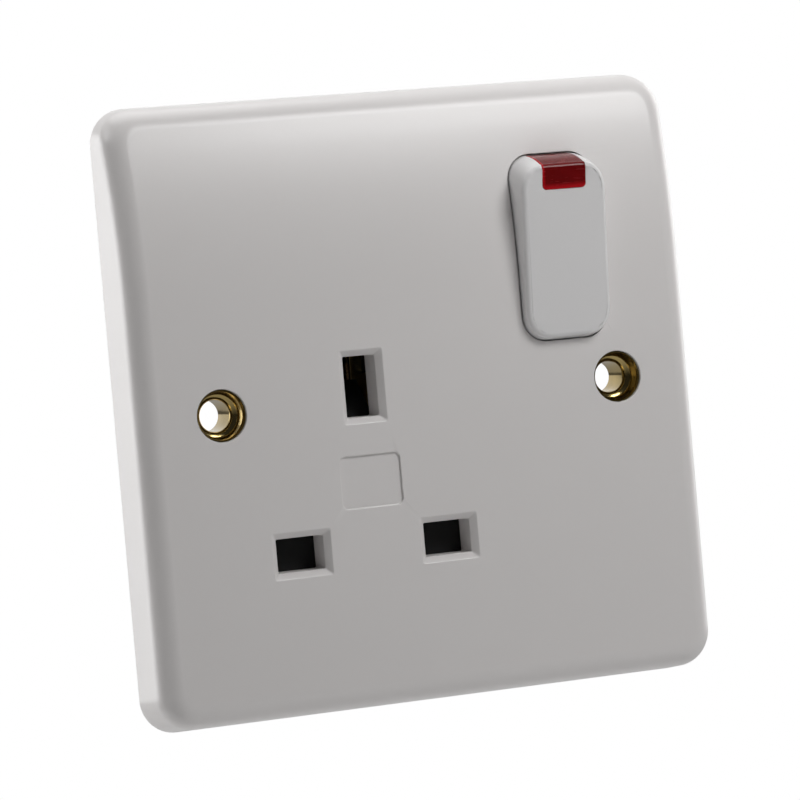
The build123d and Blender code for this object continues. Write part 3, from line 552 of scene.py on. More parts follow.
# Brass eyelets
# Each fixing hole is lined by a turned brass eyelet: a cup under the screw head, a funnel, and a tube whose
# end is rolled over behind the earth bar, so that the wall screws earth the back box. It's left bright.
eyelet_profile = (
    (0.003575, -0.00745),
    (0.003575, eyelet_seat),
    (0.0027, eyelet_seat),
    (0.0027, -0.00035),
    (0.0034, -0.00035),
    (0.0034, -0.0001),
    (0.0033, 0.0),
    (0.0027, 0.0),
    (0.00245, -0.00015),
    (0.0022, -0.00045),
    (0.0022, -0.0048),
    (0.00232, -0.00515),
    (0.00255, -0.0054),
    (0.00285, -0.00552),
    (0.00307, -0.00565),
    (0.0032, -0.00595),
    (0.00325, -0.0070),
    (0.00335, -0.00738),
    (0.0034, -0.00745),
    (0.003575, -0.00745),
)


def metal(name, colour, roughness, streak=(1, 1, 1), wear=0.10, dents=0.04):
    """A bare metal: slightly uneven colour, fine tool marks along one way and a few duller patches."""
    plating, nodes, links, shader = blank(name, {"Metallic": 1.0})
    place = nodes.new("ShaderNodeTexCoord")
    along = nodes.new("ShaderNodeMapping")
    along.inputs["Scale"].default_value = streak
    marks = noise(nodes, 900.0, 4.0)
    patches = noise(nodes, 220.0, 3.0)
    tint = ramp(nodes, (0.35, [value * (1 - wear) for value in colour]), (0.65, colour))
    gloss = remap(nodes, 0.0, 1.0, roughness * 0.7, roughness * 1.3)
    bump = relief(nodes, dents, 0.0001)
    join(
        links,
        (place.outputs["Object"], along.inputs["Vector"]),
        (along.outputs["Vector"], marks.inputs["Vector"]),
        (place.outputs["Object"], patches.inputs["Vector"]),
        (patches.outputs["Fac"], tint.inputs["Fac"]),
        (marks.outputs["Fac"], gloss.inputs["Value"]),
        (tint.outputs["Color"], shader.inputs["Base Color"]),
        (gloss.outputs["Result"], shader.inputs["Roughness"]),
        (marks.outputs["Fac"], bump.inputs["Height"]),
        (bump.outputs["Normal"], shader.inputs["Normal"]),
    )
    return plating


turned_brass = metal("turned_brass", (0.40, 0.30, 0.12), 0.16, (1, 4, 1), 0.25)
for side, node in ((-1, "eyelet_left"), (1, "eyelet_right")):
    eyelet = turned(node + "_brass", (side * fixing_x, 0, 0), "Y", eyelet_profile, True, 72)
    soften(eyelet, 0)
    finish(eyelet, turned_brass)
    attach(eyelet, "housing")
    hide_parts(node)


# Rocker
# A white moulded drum with rounded ends, cut off flat in front and open behind, that tips on two trunnions.
# A tube inside it guides the plunger. The red lens fills a notch at its top.
rocker_front = 0.0057
rocker_back = 0.0024
rocker_wall = 0.0012
rocker_round = 0.0007
rocker_round_steps = 8
rocker_tilt = math.radians(5.3)
trunnion_radius = 0.00125
trunnion_reach = 0.0079
tube_radius = 0.00238
tube_back = 0.0055
tube_bores = ((0.00158, -rocker_front + rocker_wall, 0.00435), (0.00108, 0.0, 0.006))
trunnion_edge = 0.0002
lens_half = 0.003375
lens_low = 0.0086
lens_front = 0.0005
lens_corner = 0.0006
lens_gap = 0.00002
moulded_edge = 0.00008


def slice_off(piece, place, lean, inner=False):
    """Cuts a piece flat, closes the cut, and drops the side that lean points to, or the other side."""
    whole(piece)
    bpy.ops.mesh.bisect(
        plane_co=place, plane_no=lean, use_fill=True, clear_inner=inner, clear_outer=not inner
    )
    close()


def tip(piece):
    """Turns a rocker piece about its pivot from level to where it rests, top forward."""
    there = Matrix.Translation(pivot)
    piece.matrix_world = there @ Matrix.Rotation(rocker_tilt, 4, "X") @ there.inverted()
    settle(piece)


def rocker_shell(name):
    """The hollow rocker, level: drum, flat front with rounded edges, open back."""
    shell = barrel(name, 0)
    inner = barrel("rocker_inside", -rocker_wall, 96)
    for piece, front, back in (
        (shell, rocker_front - rocker_round, rocker_back),
        (inner, rocker_front - rocker_wall, rocker_back + clear_back),
    ):
        slice_off(piece, (0, pivot_y - front, 0), (0, 1, 0), inner=True)
        slice_off(piece, (0, pivot_y + back, 0), (0, 1, 0))
        whole(piece)
        bpy.ops.mesh.normals_make_consistent(inside=False)
        close()
    edit(shell, "FACE", lambda f: f.normal.y < -0.999 and len(f.verts) > 20)
    for step in range(rocker_round_steps):
        here, there = (math.pi / 2 * (step + more) / rocker_round_steps for more in (0, 1))
        bpy.ops.mesh.inset(
            thickness=rocker_round * (math.cos(here) - math.cos(there)),
            depth=rocker_round * (math.sin(there) - math.sin(here)),
        )
    close()
    combine(shell, inner)
    return shell


def lens_notch(name, shrink):
    """The notch of the lens, level, a little smaller all round for the lens itself."""
    low = pivot_z + lens_low + shrink
    high = pivot_z + rocker_radius + 2 * clear_back
    return block(
        name,
        rocker_x,
        (low + high) / 2,
        2 * (lens_half - shrink),
        high - low,
        pivot_y + clear_front,
        pivot_y - lens_front - shrink,
        lens_corner,
        4,
    )


rocker = rocker_shell("rocker_shell")
guide = rod("guide", pivot, "Y", tube_radius, -rocker_front + rocker_wall / 2, tube_back, 40)
combine(rocker, guide, "UNION")
for side in (-1, 1):
    trunnion = turned(
        "trunnion",
        pivot,
        "X",
        (
            (trunnion_radius, side * (rocker_half - rocker_wall / 2)),
            (trunnion_radius, side * (trunnion_reach - trunnion_edge)),
            (trunnion_radius - trunnion_edge, side * trunnion_reach),
        ),
        steps=40,
    )
    combine(rocker, trunnion, "UNION")
for radius, front, back in tube_bores:
    combine(rocker, rod("bore", pivot, "Y", radius, front, back, 40))
lens = rocker_shell("rocker_lens")
combine(lens, lens_notch("lens_form", lens_gap), "INTERSECT")
combine(rocker, lens_notch("lens_notch", 0))
soften(rocker, moulded_edge)
tip(rocker)
rocker_white = moulding("rocker_white", (0.80, 0.79, 0.79), 0.26)
finish(rocker, rocker_white)
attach(rocker, "rocker")
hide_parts("rocker")


# Red lens
# Clear red plastic, snapped into the rocker's notch flush with its skin. It's dark until the neon behind it
# glows. A brighter red is painted into its colour along its left and lower edges for light running round
# them, over a faint random clouding, and fine scratches on its sloping top.
# Widths of the painted rim light: the brighter red painted along the lens's left and lower edges.
rim_light_edge = 0.0001
left_rim_light_wide = 0.0005
low_rim_light_high = 0.0009
soften(lens, moulded_edge)
tip(lens)
settings = {"IOR": 1.46, "Specular IOR Level": 0.22, "Transmission Weight": 0.30}
red, nodes, links, shader = blank("red_lens", settings)
place = nodes.new("ShaderNodeTexCoord")
turn_back = nodes.new("ShaderNodeMapping")
turn_back.vector_type = "TEXTURE"
turn_back.inputs["Location"].default_value = pivot
turn_back.inputs["Rotation"].default_value = (rocker_tilt, 0, 0)
sides = nodes.new("ShaderNodeSeparateXYZ")
across = maths(nodes, "MULTIPLY", -1.0)
# Painted light: these masks rise towards the lens's left and lower edges, where a brighter red is painted in
# for light running round them.
left_rim_light = remap(nodes, lens_half - left_rim_light_wide, lens_half - rim_light_edge)
low_rim_light = remap(nodes, lens_low + low_rim_light_high, lens_low + rim_light_edge)
rim = maths(nodes, "MAXIMUM")
along = nodes.new("ShaderNodeMapping")
along.inputs["Scale"].default_value = (0.25, 1, 3)
hairlines = noise(nodes, 1500.0, 5.0)
haze = remap(nodes, 0.45, 0.75, 0.10, 0.42)
depth = noise(nodes, 420.0)
# The painted rim light plus a faint random clouding sets how far the colour goes from dark red to the
# brighter painted red.
rim_light_and_clouding = maths(nodes, "MULTIPLY_ADD", 0.25)
tint = ramp(nodes, (0.10, (0.19, 0.0008, 0.0018)), (1.0, (0.62, 0.007, 0.014)))
join(
    links,
    (place.outputs["Object"], turn_back.inputs["Vector"]),
    (turn_back.outputs["Vector"], sides.inputs["Vector"]),
    (sides.outputs["X"], across.inputs[0]),
    (across.outputs[0], left_rim_light.inputs["Value"]),
    (sides.outputs["Z"], low_rim_light.inputs["Value"]),
    (left_rim_light.outputs["Result"], rim.inputs[0]),
    (low_rim_light.outputs["Result"], rim.inputs[1]),
    (depth.outputs["Fac"], rim_light_and_clouding.inputs[0]),
    (rim.outputs[0], rim_light_and_clouding.inputs[2]),
    (place.outputs["Object"], along.inputs["Vector"]),
    (along.outputs["Vector"], hairlines.inputs["Vector"]),
    (place.outputs["Object"], depth.inputs["Vector"]),
    (hairlines.outputs["Fac"], haze.inputs["Value"]),
    (haze.outputs["Result"], shader.inputs["Roughness"]),
    (rim_light_and_clouding.outputs[0], tint.inputs["Fac"]),
    (tint.outputs["Color"], shader.inputs["Base Color"]),
)
finish(lens, red)
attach(lens, "rocker")
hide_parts("neon_lens")


# Shutter
# A black moulded slide behind the slots. Its cross bar closes the two lower slots, and a plug's longer
# upper pin pushes down on the ramp of its stem. It's seen as the dark floor of each slot.
shutter_front = -0.0032
shutter_back = -0.0010
stem_half = 0.0032
bar_low = -0.0230
bar_high = -0.0173
bar_left = -0.0245
bar_right = 0.0065
stem_middle = -0.0100
stem_high = 0.0260
stem_foot = (0.0080, 0.0140, -0.0200)
ramp_foot = -0.00245
ramp_depth = 0.0022
ramp_heel = 0.0053
shutter_corner = 0.0005
broken_edge = 0.00015
shutter = block(
    "shutter_slide",
    (bar_left + bar_right) / 2,
    (bar_low + bar_high) / 2,
    bar_right - bar_left,
    bar_high - bar_low,
    shutter_front,
    shutter_back,
    shutter_corner,
    4,
)
stem = block("stem", slots[0][1], stem_middle, 2 * stem_half, stem_high, shutter_front, ramp_depth)
for place, lean in (
    ((0, shutter_front, ramp_foot), (0, -1, 1)),
    ((0, ramp_depth, ramp_foot - ramp_heel), (0, 1, -1)),
    ((0, 0, bar_low), (0, 0, -1)),
):
    slice_off(stem, place, lean)
wide, high, z = stem_foot
under_ramp = block("under_ramp", slots[0][1], z, wide, high, shutter_back, 2 * ramp_depth)
combine(stem, under_ramp)
combine(shutter, stem, "UNION")
soften(shutter, broken_edge)
black_plastic = moulding("black_plastic", (0.006, 0.006, 0.006), 0.55, 0.2, 0.08)
black_plastic.node_tree.nodes["Principled BSDF"].inputs["Specular IOR Level"].default_value = 0.25
finish(shutter, black_plastic)
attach(shutter, "shutter")
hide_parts("shutter")


# Rear base
# One dull dark moulding, held to the plate by four screws: a slab with a deeper block behind the switch and
# one behind the contacts and terminals. Pockets are sunk in its front, given by their left, right, low and
# high edges and their floor, and the terminals' chambers open behind and below.
slab_left = -0.0315
slab_right = 0.0320
slab_low = -0.0330
slab_high = 0.0340
slab_back = 0.0074
slab_corner = 0.0025
slab_edge = 0.0008
lug_reach = 0.0252
lug_half = 0.0075
block_root = 0.0059
block_corner = 0.0015
block_draft = math.tan(math.radians(1.5))
switch_back = 0.0106
terminal_block_back = 0.0170
base_round = 0.0003
terminal_x = {"earth_terminal": -0.0090, "neutral_terminal": -0.0201, "live_terminal": 0.0186}
terminal_front = 0.0034
terminal_gap = 0.0042
chamber_gap = 0.0002
terminal_low = -0.0320
terminal_high = -0.0240
screw_well = 0.00305
base_screw_seat = 0.0031
base_clear = -base_front - clear_back
pilot_radius = 0.00165
saddle_offset = 0.0075
saddle_wide = 0.0012
saddle_high = 0.0024
saddle_root = 0.0005
cradle_middle = 0.0291
cradle_wide = 0.0048
cradle_high = 0.0056
cradle_root = 0.0014
cradle_gap = 0.00005
cradle_reach = 0.0040
base_blocks = (
    ((0.0064, 0.0310, -0.0250, 0.0330), ((0.0242, 0.0320, -0.0260, 0.0080),), switch_back),
    (
        (-0.0261, 0.0246, -0.0325, 0.00998),
        ((-0.0270, -0.01545, -0.0136, 0.0110), (-0.00255, 0.0260, -0.0136, 0.0110)),
        terminal_block_back,
    ),
)
front_pockets = (
    ((0.0160, 0.0295, 0.0300, 0.0326), 0.0004),
    ((-0.0125, -0.0055, -0.0340, 0.00818), 0.0034),
    ((-0.0252, 0.0252, -0.0040, 0.0040), 0.0034),
    ((-0.01365, -0.00435, 0.0, 0.00818), 0.0034),
    ((-0.02473, -0.01548, -0.0247, -0.0154), 0.0034),
    ((-0.00253, 0.00673, -0.0247, -0.0154), 0.0034),
    ((-0.0233, -0.0169, -0.0320, -0.02005), 0.0034),
    ((0.0021, 0.0084, -0.02225, -0.01785), 0.0034),
    ((-0.01365, -0.00435, -0.00343, 0.00773), 0.0152),
    ((-0.02348, -0.01673, -0.0245, -0.0156), 0.0104),
    ((-0.00128, 0.00548, -0.0245, -0.0156), 0.0104),
    ((0.0074, 0.0086, -0.02225, -0.01785), 0.0104),
    ((0.0082, 0.0128, -0.02225, 0.0292), 0.0088),
    ((0.0105, 0.0228, 0.0230, 0.0292), 0.0088),
    ((0.0163, 0.0209, -0.0240, 0.02125), 0.0088),
    ((0.01605, 0.02945, 0.00928, 0.0311), 0.0088),
    ((-0.0166, -0.0144, -0.02115, 0.0311), 0.0058),
    ((-0.0166, 0.0228, 0.0289, 0.0311), 0.0058),
)
lamp_middle = (0.0220, -0.0026, 0.0275)
lamp_radius = 0.0020


def between(name, edges, front, back, corner=0.0, steps=8):
    """A block given by its left, right, low and high edges."""
    left, right, low, high = edges
    return block(
        name, (left + right) / 2, (low + high) / 2, right - left, high - low, front, back, corner, steps
    )


slab = (slab_left, slab_right, slab_low, slab_high)
base = between("base_moulding", slab, -base_front, slab_back, slab_corner)
for side in (-1, 1):
    left, right = sorted((side * lug_reach, side * plate_half))
    lug_edges = (left, right, -lug_half, lug_half)
    lug_notch = between("lug_notch", lug_edges, base_clear, slab_back + clear_back)
    combine(base, lug_notch)
round_edges(base, slab_edge, 3, lambda e: min(v.co.y for v in e.verts) > slab_back - near)
for edges, corners, back in base_blocks:
    deeper = between("deeper_block", edges, block_root, back)
    for corner in corners:
        cut = between("corner", corner, block_root - clear_back, back + clear_back)
        combine(deeper, cut)
    wide, high = edges[1] - edges[0], edges[3] - edges[2]
    half_deep = (back - block_root) / 2
    lean = 4 * half_deep * block_draft
    round_edges(
        deeper, block_corner, 6, lambda e: abs(e.verts[0].co.y - e.verts[1].co.y) > half_deep
    )
    edit(deeper, "VERT", lambda v: v.co.y > back - near)
    bpy.ops.transform.resize(
        value=(1 - lean / wide, 1, 1 - lean / high),
        center_override=((edges[0] + edges[1]) / 2, back, (edges[2] + edges[3]) / 2),
    )
    close()
    round_edges(deeper, base_round, 3, lambda e: min(v.co.y for v in e.verts) > back - near)
    combine(base, deeper, "UNION")
for x in terminal_x.values():
    chamber = (x - terminal_gap, x + terminal_gap, slab_low - clear_back, terminal_high + chamber_gap)
    chamber_end = terminal_block_back + clear_back
    combine(base, between("chamber", chamber, terminal_front, chamber_end))
    mouth = between("chamber_mouth", chamber, terminal_block_back - base_round, chamber_end)
    edit(mouth, "VERT", lambda v: v.co.y > terminal_block_back)
    flare = 1 + (base_round + clear_back) / terminal_gap
    bpy.ops.transform.resize(value=(flare, 1, flare), center_override=(x, 0, (chamber[2] + chamber[3]) / 2))
    close()
    combine(base, mouth)
for x, z in screw_places:
    well = turned(
        "screw_well",
        (x, 0, z),
        "Y",
        (
            (screw_well, base_screw_seat),
            (screw_well, slab_back - base_round),
            (screw_well + base_round, slab_back),
            (screw_well + base_round, terminal_block_back + clear_back),
        ),
        steps=40,
    )
    combine(base, well)
for edges, back in front_pockets:
    combine(base, between("pocket", edges, base_clear, back))
pilot_back = base_screw_seat + clear_back
for x, z in screw_places:
    combine(base, rod("screw_hole", (x, 0, z), "Y", pilot_radius, base_clear, pilot_back, 32))
for side in (-1, 1):
    post_x = rocker_x + side * saddle_offset
    post = block("saddle", post_x, pivot_z, saddle_wide, saddle_high, pivot_y, -base_front + saddle_root)
    combine(post, rod("saddle_seat", pivot, "X", notch_radius, -notch_reach, notch_reach, 40))
    combine(base, post, "UNION")
cradle = block(
    "cradle", lamp_middle[0], cradle_middle, cradle_wide, cradle_high, -base_front, cradle_root
)
cradle_seat = lamp_radius + cradle_gap
combine(cradle, rod("cradle_seat", lamp_middle, "X", cradle_seat, -cradle_reach, cradle_reach))
combine(base, cradle, "UNION")
soften(base, 0)
base_plastic = moulding("base_plastic", (0.032, 0.032, 0.035), 0.50, 0.25, 0.25)
finish(base, base_plastic)
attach(base, "housing")
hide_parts("rear_base")


# Terminals
# Three brass blocks sawn from drawn bar and pressed into the base: a bore from below for the wires, and a
# tapped hole from behind for the screw that clamps them. One is made and the others are copies.
terminal_back = 0.0124
terminal_size = 0.0080
terminal_bore = 0.0022
terminal_tapping = 0.0020
terminal_corner = 0.0006
terminal_middle = (terminal_front + terminal_back) / 2
terminal_z = terminal_low + terminal_size / 2


def another(piece, name, move, spin=0.0):
    """A second piece of the same kind with its own mesh, moved along and turned about its own Y line."""
    alone(piece)
    bpy.ops.object.duplicate()
    twin = bpy.context.object
    twin.name = name
    twin.matrix_world = Matrix.Translation(move)
    settle(twin)
    if spin:
        low, high = (
            Vector([pick(v.co[axis] for v in twin.data.vertices) for axis in range(3)])
            for pick in (min, max)
        )
        middle = Matrix.Translation((low + high) / 2)
        twin.matrix_world = middle @ Matrix.Rotation(spin, 4, "Y") @ middle.inverted()
        settle(twin)
    return twin


first_x = terminal_x["earth_terminal"]
terminal = block(
    "earth_terminal_block",
    first_x,
    terminal_z,
    terminal_size,
    terminal_size,
    terminal_front,
    terminal_back,
    terminal_corner,
    4,
)
terminal_end = terminal_back + clear_back
wire_middle = (first_x, terminal_middle, terminal_z)
wire_reach = terminal_size / 2 + clear_back
combine(terminal, rod("wire_way", wire_middle, "Z", terminal_bore, -wire_reach, wire_reach, 48))
screw_middle = (first_x, 0, terminal_z)
combine(terminal, rod("screw_way", screw_middle, "Y", terminal_tapping, terminal_middle, terminal_end, 48))
soften(terminal, broken_edge)
drawn_brass = metal("drawn_brass", (0.62, 0.47, 0.21), 0.26, (5, 5, 0.4), 0.18, 0.10)
finish(terminal, drawn_brass)
for node, x in terminal_x.items():
    piece = terminal
    if x != first_x:
        piece = another(terminal, node + "_block", (x - first_x, 0, 0))
    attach(piece, "housing")
    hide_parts(node)


# Screws
# Zinc-plated steel with cheese heads and a slot. Three fine ones clamp the wires in the terminals, and four
# coarse ones cut their own thread in the plate's bosses. One of each is turned, and copied.
driver_slot_width = 0.0010
driver_slot_depth = 0.0009
head_round = 0.0005
head_middle = 0.0001
terminal_screw_seat = 0.0128


def slotted_screw(name, x, z, seat, shank, tip_end, head, top, pitch, cut):
    """A screw that points forwards: a threaded shank with a tapered tip, and a head with a driver slot."""
    profile = [(shank - cut, tip_end), (shank - cut, tip_end + pitch / 2)]
    turns = int((seat - tip_end) / pitch - 0.75)
    for turn in range(turns):
        start = tip_end + pitch * (0.6 + turn)
        profile += [
            (shank - cut, start),
            (shank, start + 0.30 * pitch),
            (shank, start + 0.45 * pitch),
            (shank - cut, start + 0.75 * pitch),
        ]
    profile += [
        (shank - cut, seat),
        (head, seat),
        (head, top - head_round),
        (head - 0.3 * head_round, top - 0.4 * head_round),
        (head - head_round, top),
        (head_middle, top),
    ]
    screw = turned(name, (x, 0, z), "Y", profile, steps=40)
    wide = 2 * head + clear_back
    floor_of_slot = top - driver_slot_depth
    combine(
        screw, block("driver_slot", x, z, wide, driver_slot_width, floor_of_slot, top + clear_back)
    )
    soften(screw, 0)
    return screw


plated_steel = metal("plated_steel", (0.60, 0.60, 0.58), 0.24, (1, 6, 1), 0.12, 0.08)
terminal_screw = slotted_screw(
    "terminal_screw_earth",
    first_x,
    terminal_z,
    terminal_screw_seat,
    shank=0.00195,
    tip_end=0.0103,
    head=0.0030,
    top=0.0152,
    pitch=0.0006,
    cut=0.00028,
)
finish(terminal_screw, plated_steel)
terminal_screws = [terminal_screw]
for pole, spin in (("neutral", 0.7), ("live", -0.4)):
    move = (terminal_x[pole + "_terminal"] - first_x, 0, 0)
    terminal_screws.append(another(terminal_screw, "terminal_screw_" + pole, move, spin))
for piece in terminal_screws:
    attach(piece, "housing")
    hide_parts("terminal_screws")

base_x, base_z = screw_places[0]
base_screw = slotted_screw(
    "base_screw_1",
    base_x,
    base_z,
    base_screw_seat,
    shank=0.00145,
    tip_end=-0.0045,
    head=0.0027,
    top=0.0047,
    pitch=0.0011,
    cut=0.00035,
)
finish(base_screw, plated_steel)
base_screws = [base_screw] + [
    another(base_screw, "base_screw_" + str(count + 2), (x - base_x, 0, z - base_z), spin)
    for count, ((x, z), spin) in enumerate(zip(screw_places[1:], (0.9, 2.1, -0.6)))
]
for piece in base_screws:
    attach(piece, "housing")
    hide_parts("base_screws")


# Stampings
# Sheet metal laid in the base: the brass earth bar under both eyelets, bronze contacts whose leaves pinch
# the plug's pins, copper straps and the neutral link. The edges are barely broken, as a press leaves them.
sheet_edge = 0.00008
rivet_edge = 0.0001
flat_turn = math.radians(0.5)


def from_node(name, node, edge, turn=30.0):
    """A piece taken from its node: the loose faces joined and paired, and the edges rounded."""
    piece = bpy.data.objects.new(name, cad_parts[node].data.copy())
    bpy.context.scene.collection.objects.link(piece)
    alone(piece)
    bpy.ops.mesh.customdata_custom_splitnormals_clear()
    whole(piece)
    bpy.ops.mesh.remove_doubles(threshold=near)
    bpy.ops.mesh.tris_convert_to_quads(face_threshold=flat_turn, shape_threshold=math.pi)
    close()
    soften(piece, edge, turn)
    return piece


rolled_brass = metal("rolled_brass", (0.62, 0.47, 0.21), 0.24, (0.4, 5, 5), 0.20, 0.06)
spring_bronze = metal("spring_bronze", (0.56, 0.35, 0.19), 0.27, (0.4, 5, 5), 0.22, 0.06)
rolled_copper = metal("rolled_copper", (0.62, 0.31, 0.19), 0.28, (5, 5, 0.4), 0.25, 0.06)
for name, node, sheet, slot_name in (
    ("earth_bar_stamping", "earth_bar", rolled_brass, "brass"),
    ("earth_contact_leaves", "earth_contact", spring_bronze, "bronze"),
    ("neutral_contact_leaves", "neutral_contact", spring_bronze, "bronze"),
    ("live_contact_leaves", "live_contact", spring_bronze, "bronze"),
    ("fulcrum_bracket", "fulcrum", spring_bronze, "bronze"),
    ("supply_strap_stamping", "supply_strap", rolled_copper, "copper"),
    ("load_strap_stamping", "load_strap", rolled_copper, "copper"),
    ("neutral_link_stamping", "neutral_link", rolled_copper, "copper"),
):
    stamping = from_node(name, node, sheet_edge)
    finish(stamping, sheet)
    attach(stamping, "housing")
    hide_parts(node)


# Rocking contact and silver tips
# A copper bar that rocks on the fulcrum's ears, with a silver rivet at its upper end. Its partner is riveted
# to the load strap, and the two meet when the rocker is switched on.
contact_bar = from_node("contact_bar", "moving_contact", sheet_edge)
finish(contact_bar, rolled_copper)
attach(contact_bar, "rocking_contact")
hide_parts("moving_contact")
silver = metal("contact_silver", (0.78, 0.77, 0.75), 0.22, (1, 1, 1), 0.20, 0.05)
for name, node, body in (
    ("moving_rivet", "moving_tip", "rocking_contact"),
    ("fixed_rivet", "fixed_tip", "housing"),
):
    rivet = from_node(name, node, rivet_edge)
    finish(rivet, silver)
    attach(rivet, body)
    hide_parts(node)


# Plunger
# A black moulded pin with a round nose, sprung out of the rocker's tube against the rocking contact, so the
# contact snaps over when the rocker passes the middle. A collar keeps it in the tube.
plunger_reach = 0.00785
plunger_radius = 0.0010
collar_radius = 0.0015
collar_front = 0.00353
collar_back = 0.00433
collar_edge = 0.0001
nose = [
    (plunger_radius * math.cos(turn), plunger_reach + plunger_radius * math.sin(turn))
    for turn in (math.radians(step) for step in range(0, 89, 8))
]
plunger = turned(
    "plunger_pin",
    pivot,
    "Y",
    [
        (collar_radius - collar_edge, collar_front),
        (collar_radius, collar_front + collar_edge),
        (collar_radius, collar_back - collar_edge),
        (collar_radius - collar_edge, collar_back),
        (plunger_radius, collar_back),
    ]
    + nose,
    steps=40,
)
soften(plunger, 0)
tip(plunger)
finish(plunger, black_plastic)
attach(plunger, "plunger")
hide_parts("plunger")


# Springs
# Drawn spring wire, wound with a closed turn at each end. One presses the plunger out of the rocker's tube,
# and the other pushes the shutter up behind the slots.
coil_steps = 20
wire_facets = 10
closed_pitch = 2.2


def wound(name, start, axis, length, radius, wire, turns):
    """A coil from a start point along Y or Z: a ring of wire wound up, its first and last turns closed."""
    bpy.ops.object.select_all(action="DESELECT")
    bpy.ops.mesh.primitive_circle_add(
        vertices=wire_facets,
        radius=wire,
        location=(radius, 0, 0),
        rotation=(math.pi / 2, 0, 0),
        fill_type="NOTHING",
    )
    piece = bpy.context.object
    piece.name = name
    settle(piece)
    winding = piece.modifiers.new("winding", "SCREW")
    winding.axis = "Z"
    winding.steps = coil_steps
    winding.render_steps = coil_steps
    winding.iterations = turns
    winding.screw_offset = length / turns
    winding.use_merge_vertices = False
    winding.use_smooth_shade = True
    alone(piece)
    bpy.ops.object.modifier_apply(modifier=winding.name)
    closed = closed_pitch * wire
    pitch = length / turns
    for vertex in piece.data.vertices:
        sweep = (vertex.index // wire_facets) / coil_steps
        run = sweep * pitch
        if sweep < 1:
            place = sweep * closed
        elif sweep > turns - 1:
            place = length - (turns - sweep) * closed
        else:
            place = closed + (sweep - 1) / (turns - 2) * (length - 2 * closed)
        vertex.co.z += place - run
    edit(piece, "EDGE", lambda e: e.is_boundary)
    bpy.ops.mesh.fill_holes(sides=0)
    bpy.ops.mesh.select_all(action="SELECT")
    bpy.ops.mesh.normals_make_consistent(inside=False)
    close()
    bpy.ops.object.shade_smooth_by_angle(angle=math.radians(50))
    piece.rotation_euler = {"Y": (math.pi / 2, 0, 0), "Z": (0, 0, 0)}[axis]
    piece.location = start
    settle(piece)
    return piece


spring_wire = metal("spring_wire", (0.42, 0.42, 0.43), 0.25, (1, 1, 1), 0.15, 0.04)
shutter_spring_low = -0.0339
shutter_spring_high = -0.02311
shutter_wire = 0.0002
shutter_coil_radius = 0.0013
shutter_turns = 9
shutter_coil = wound(
    "shutter_coil",
    (slots[0][1], (shutter_front + shutter_back) / 2, shutter_spring_low + shutter_wire),
    "Z",
    shutter_spring_high - shutter_spring_low - 2 * shutter_wire,
    shutter_coil_radius,
    shutter_wire,
    shutter_turns,
)
plunger_wire = 0.00018
plunger_coil_length = 0.0076
plunger_coil_radius = 0.00124
plunger_turns = 8
collar_gap = 0.00002
plunger_coil = wound(
    "plunger_coil",
    (rocker_x, pivot_y + collar_front - plunger_wire - collar_gap, pivot_z),
    "Y",
    plunger_coil_length,
    plunger_coil_radius,
    plunger_wire,
    plunger_turns,
)
tip(plunger_coil)
for piece, body, node in (
    (shutter_coil, "housing", "shutter_spring"),
    (plunger_coil, "rocker", "plunger_spring"),
):
    finish(piece, spring_wire)
    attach(piece, body)
    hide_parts(node)
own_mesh(shutter_coil)
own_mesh(plunger_coil)


# Neon lamp, resistor and leads
# A small glass tube with two electrodes lies in a cradle behind the lens. Its leads are bare wire: one goes
# down to the load strap, the other over to a banded resistor that stands on the neutral link.
lamp_half = 0.0034
lamp_x, lamp_y, lamp_z = lamp_middle
lamp_profile = (
    (0.0003, -lamp_half),
    (0.0006, -lamp_half + 0.00012),
    (0.0010, -lamp_half + 0.00045),
    (0.0016, -lamp_half + 0.0008),
    (0.0019, -lamp_half + 0.0012),
    (lamp_radius, -lamp_half + 0.0018),
    (lamp_radius, lamp_half - 0.0018),
    (0.00195, lamp_half - 0.0009),
    (0.0018, lamp_half - 0.0004),
    (0.0014, lamp_half - 0.0001),
    (0.0006, lamp_half),
)
lamp_tube = turned("lamp_tube", lamp_middle, "X", lamp_profile, steps=48)
soften(lamp_tube, 0)
settings = {"Base Color": (0.93, 0.90, 0.88, 1), "Transmission Weight": 1.0, "IOR": 1.5}
lamp_glass, nodes, links, shader = blank("lamp_glass", settings)
place = nodes.new("ShaderNodeTexCoord")
smoke = noise(nodes, 500.0)
haze = remap(nodes, 0.0, 1.0, 0.02, 0.12)
join(
    links,
    (place.outputs["Object"], smoke.inputs["Vector"]),
    (smoke.outputs["Fac"], haze.inputs["Value"]),
    (haze.outputs["Result"], shader.inputs["Roughness"]),
)
finish(lamp_tube, lamp_glass)
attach(lamp_tube, "housing")
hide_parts("neon_lamp")
electrode_radius = 0.00032
electrode_offset = 0.0007
electrode_edge = 0.0001
electrode_start = -0.0019
electrode_end = 0.0015
for name, side in (("electrode_upper", 1), ("electrode_lower", -1)):
    electrode = turned(
        name,
        (lamp_x, lamp_y, lamp_z + side * electrode_offset),
        "X",
        (
            (electrode_radius - electrode_edge, electrode_start),
            (electrode_radius, electrode_start + electrode_edge),
            (electrode_radius, electrode_end - electrode_edge),
            (electrode_radius - electrode_edge, electrode_end),
        ),
        steps=20,
    )
    soften(electrode, 0)
    finish(electrode, spring_wire)
    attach(electrode, "housing")
    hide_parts("neon_lamp")

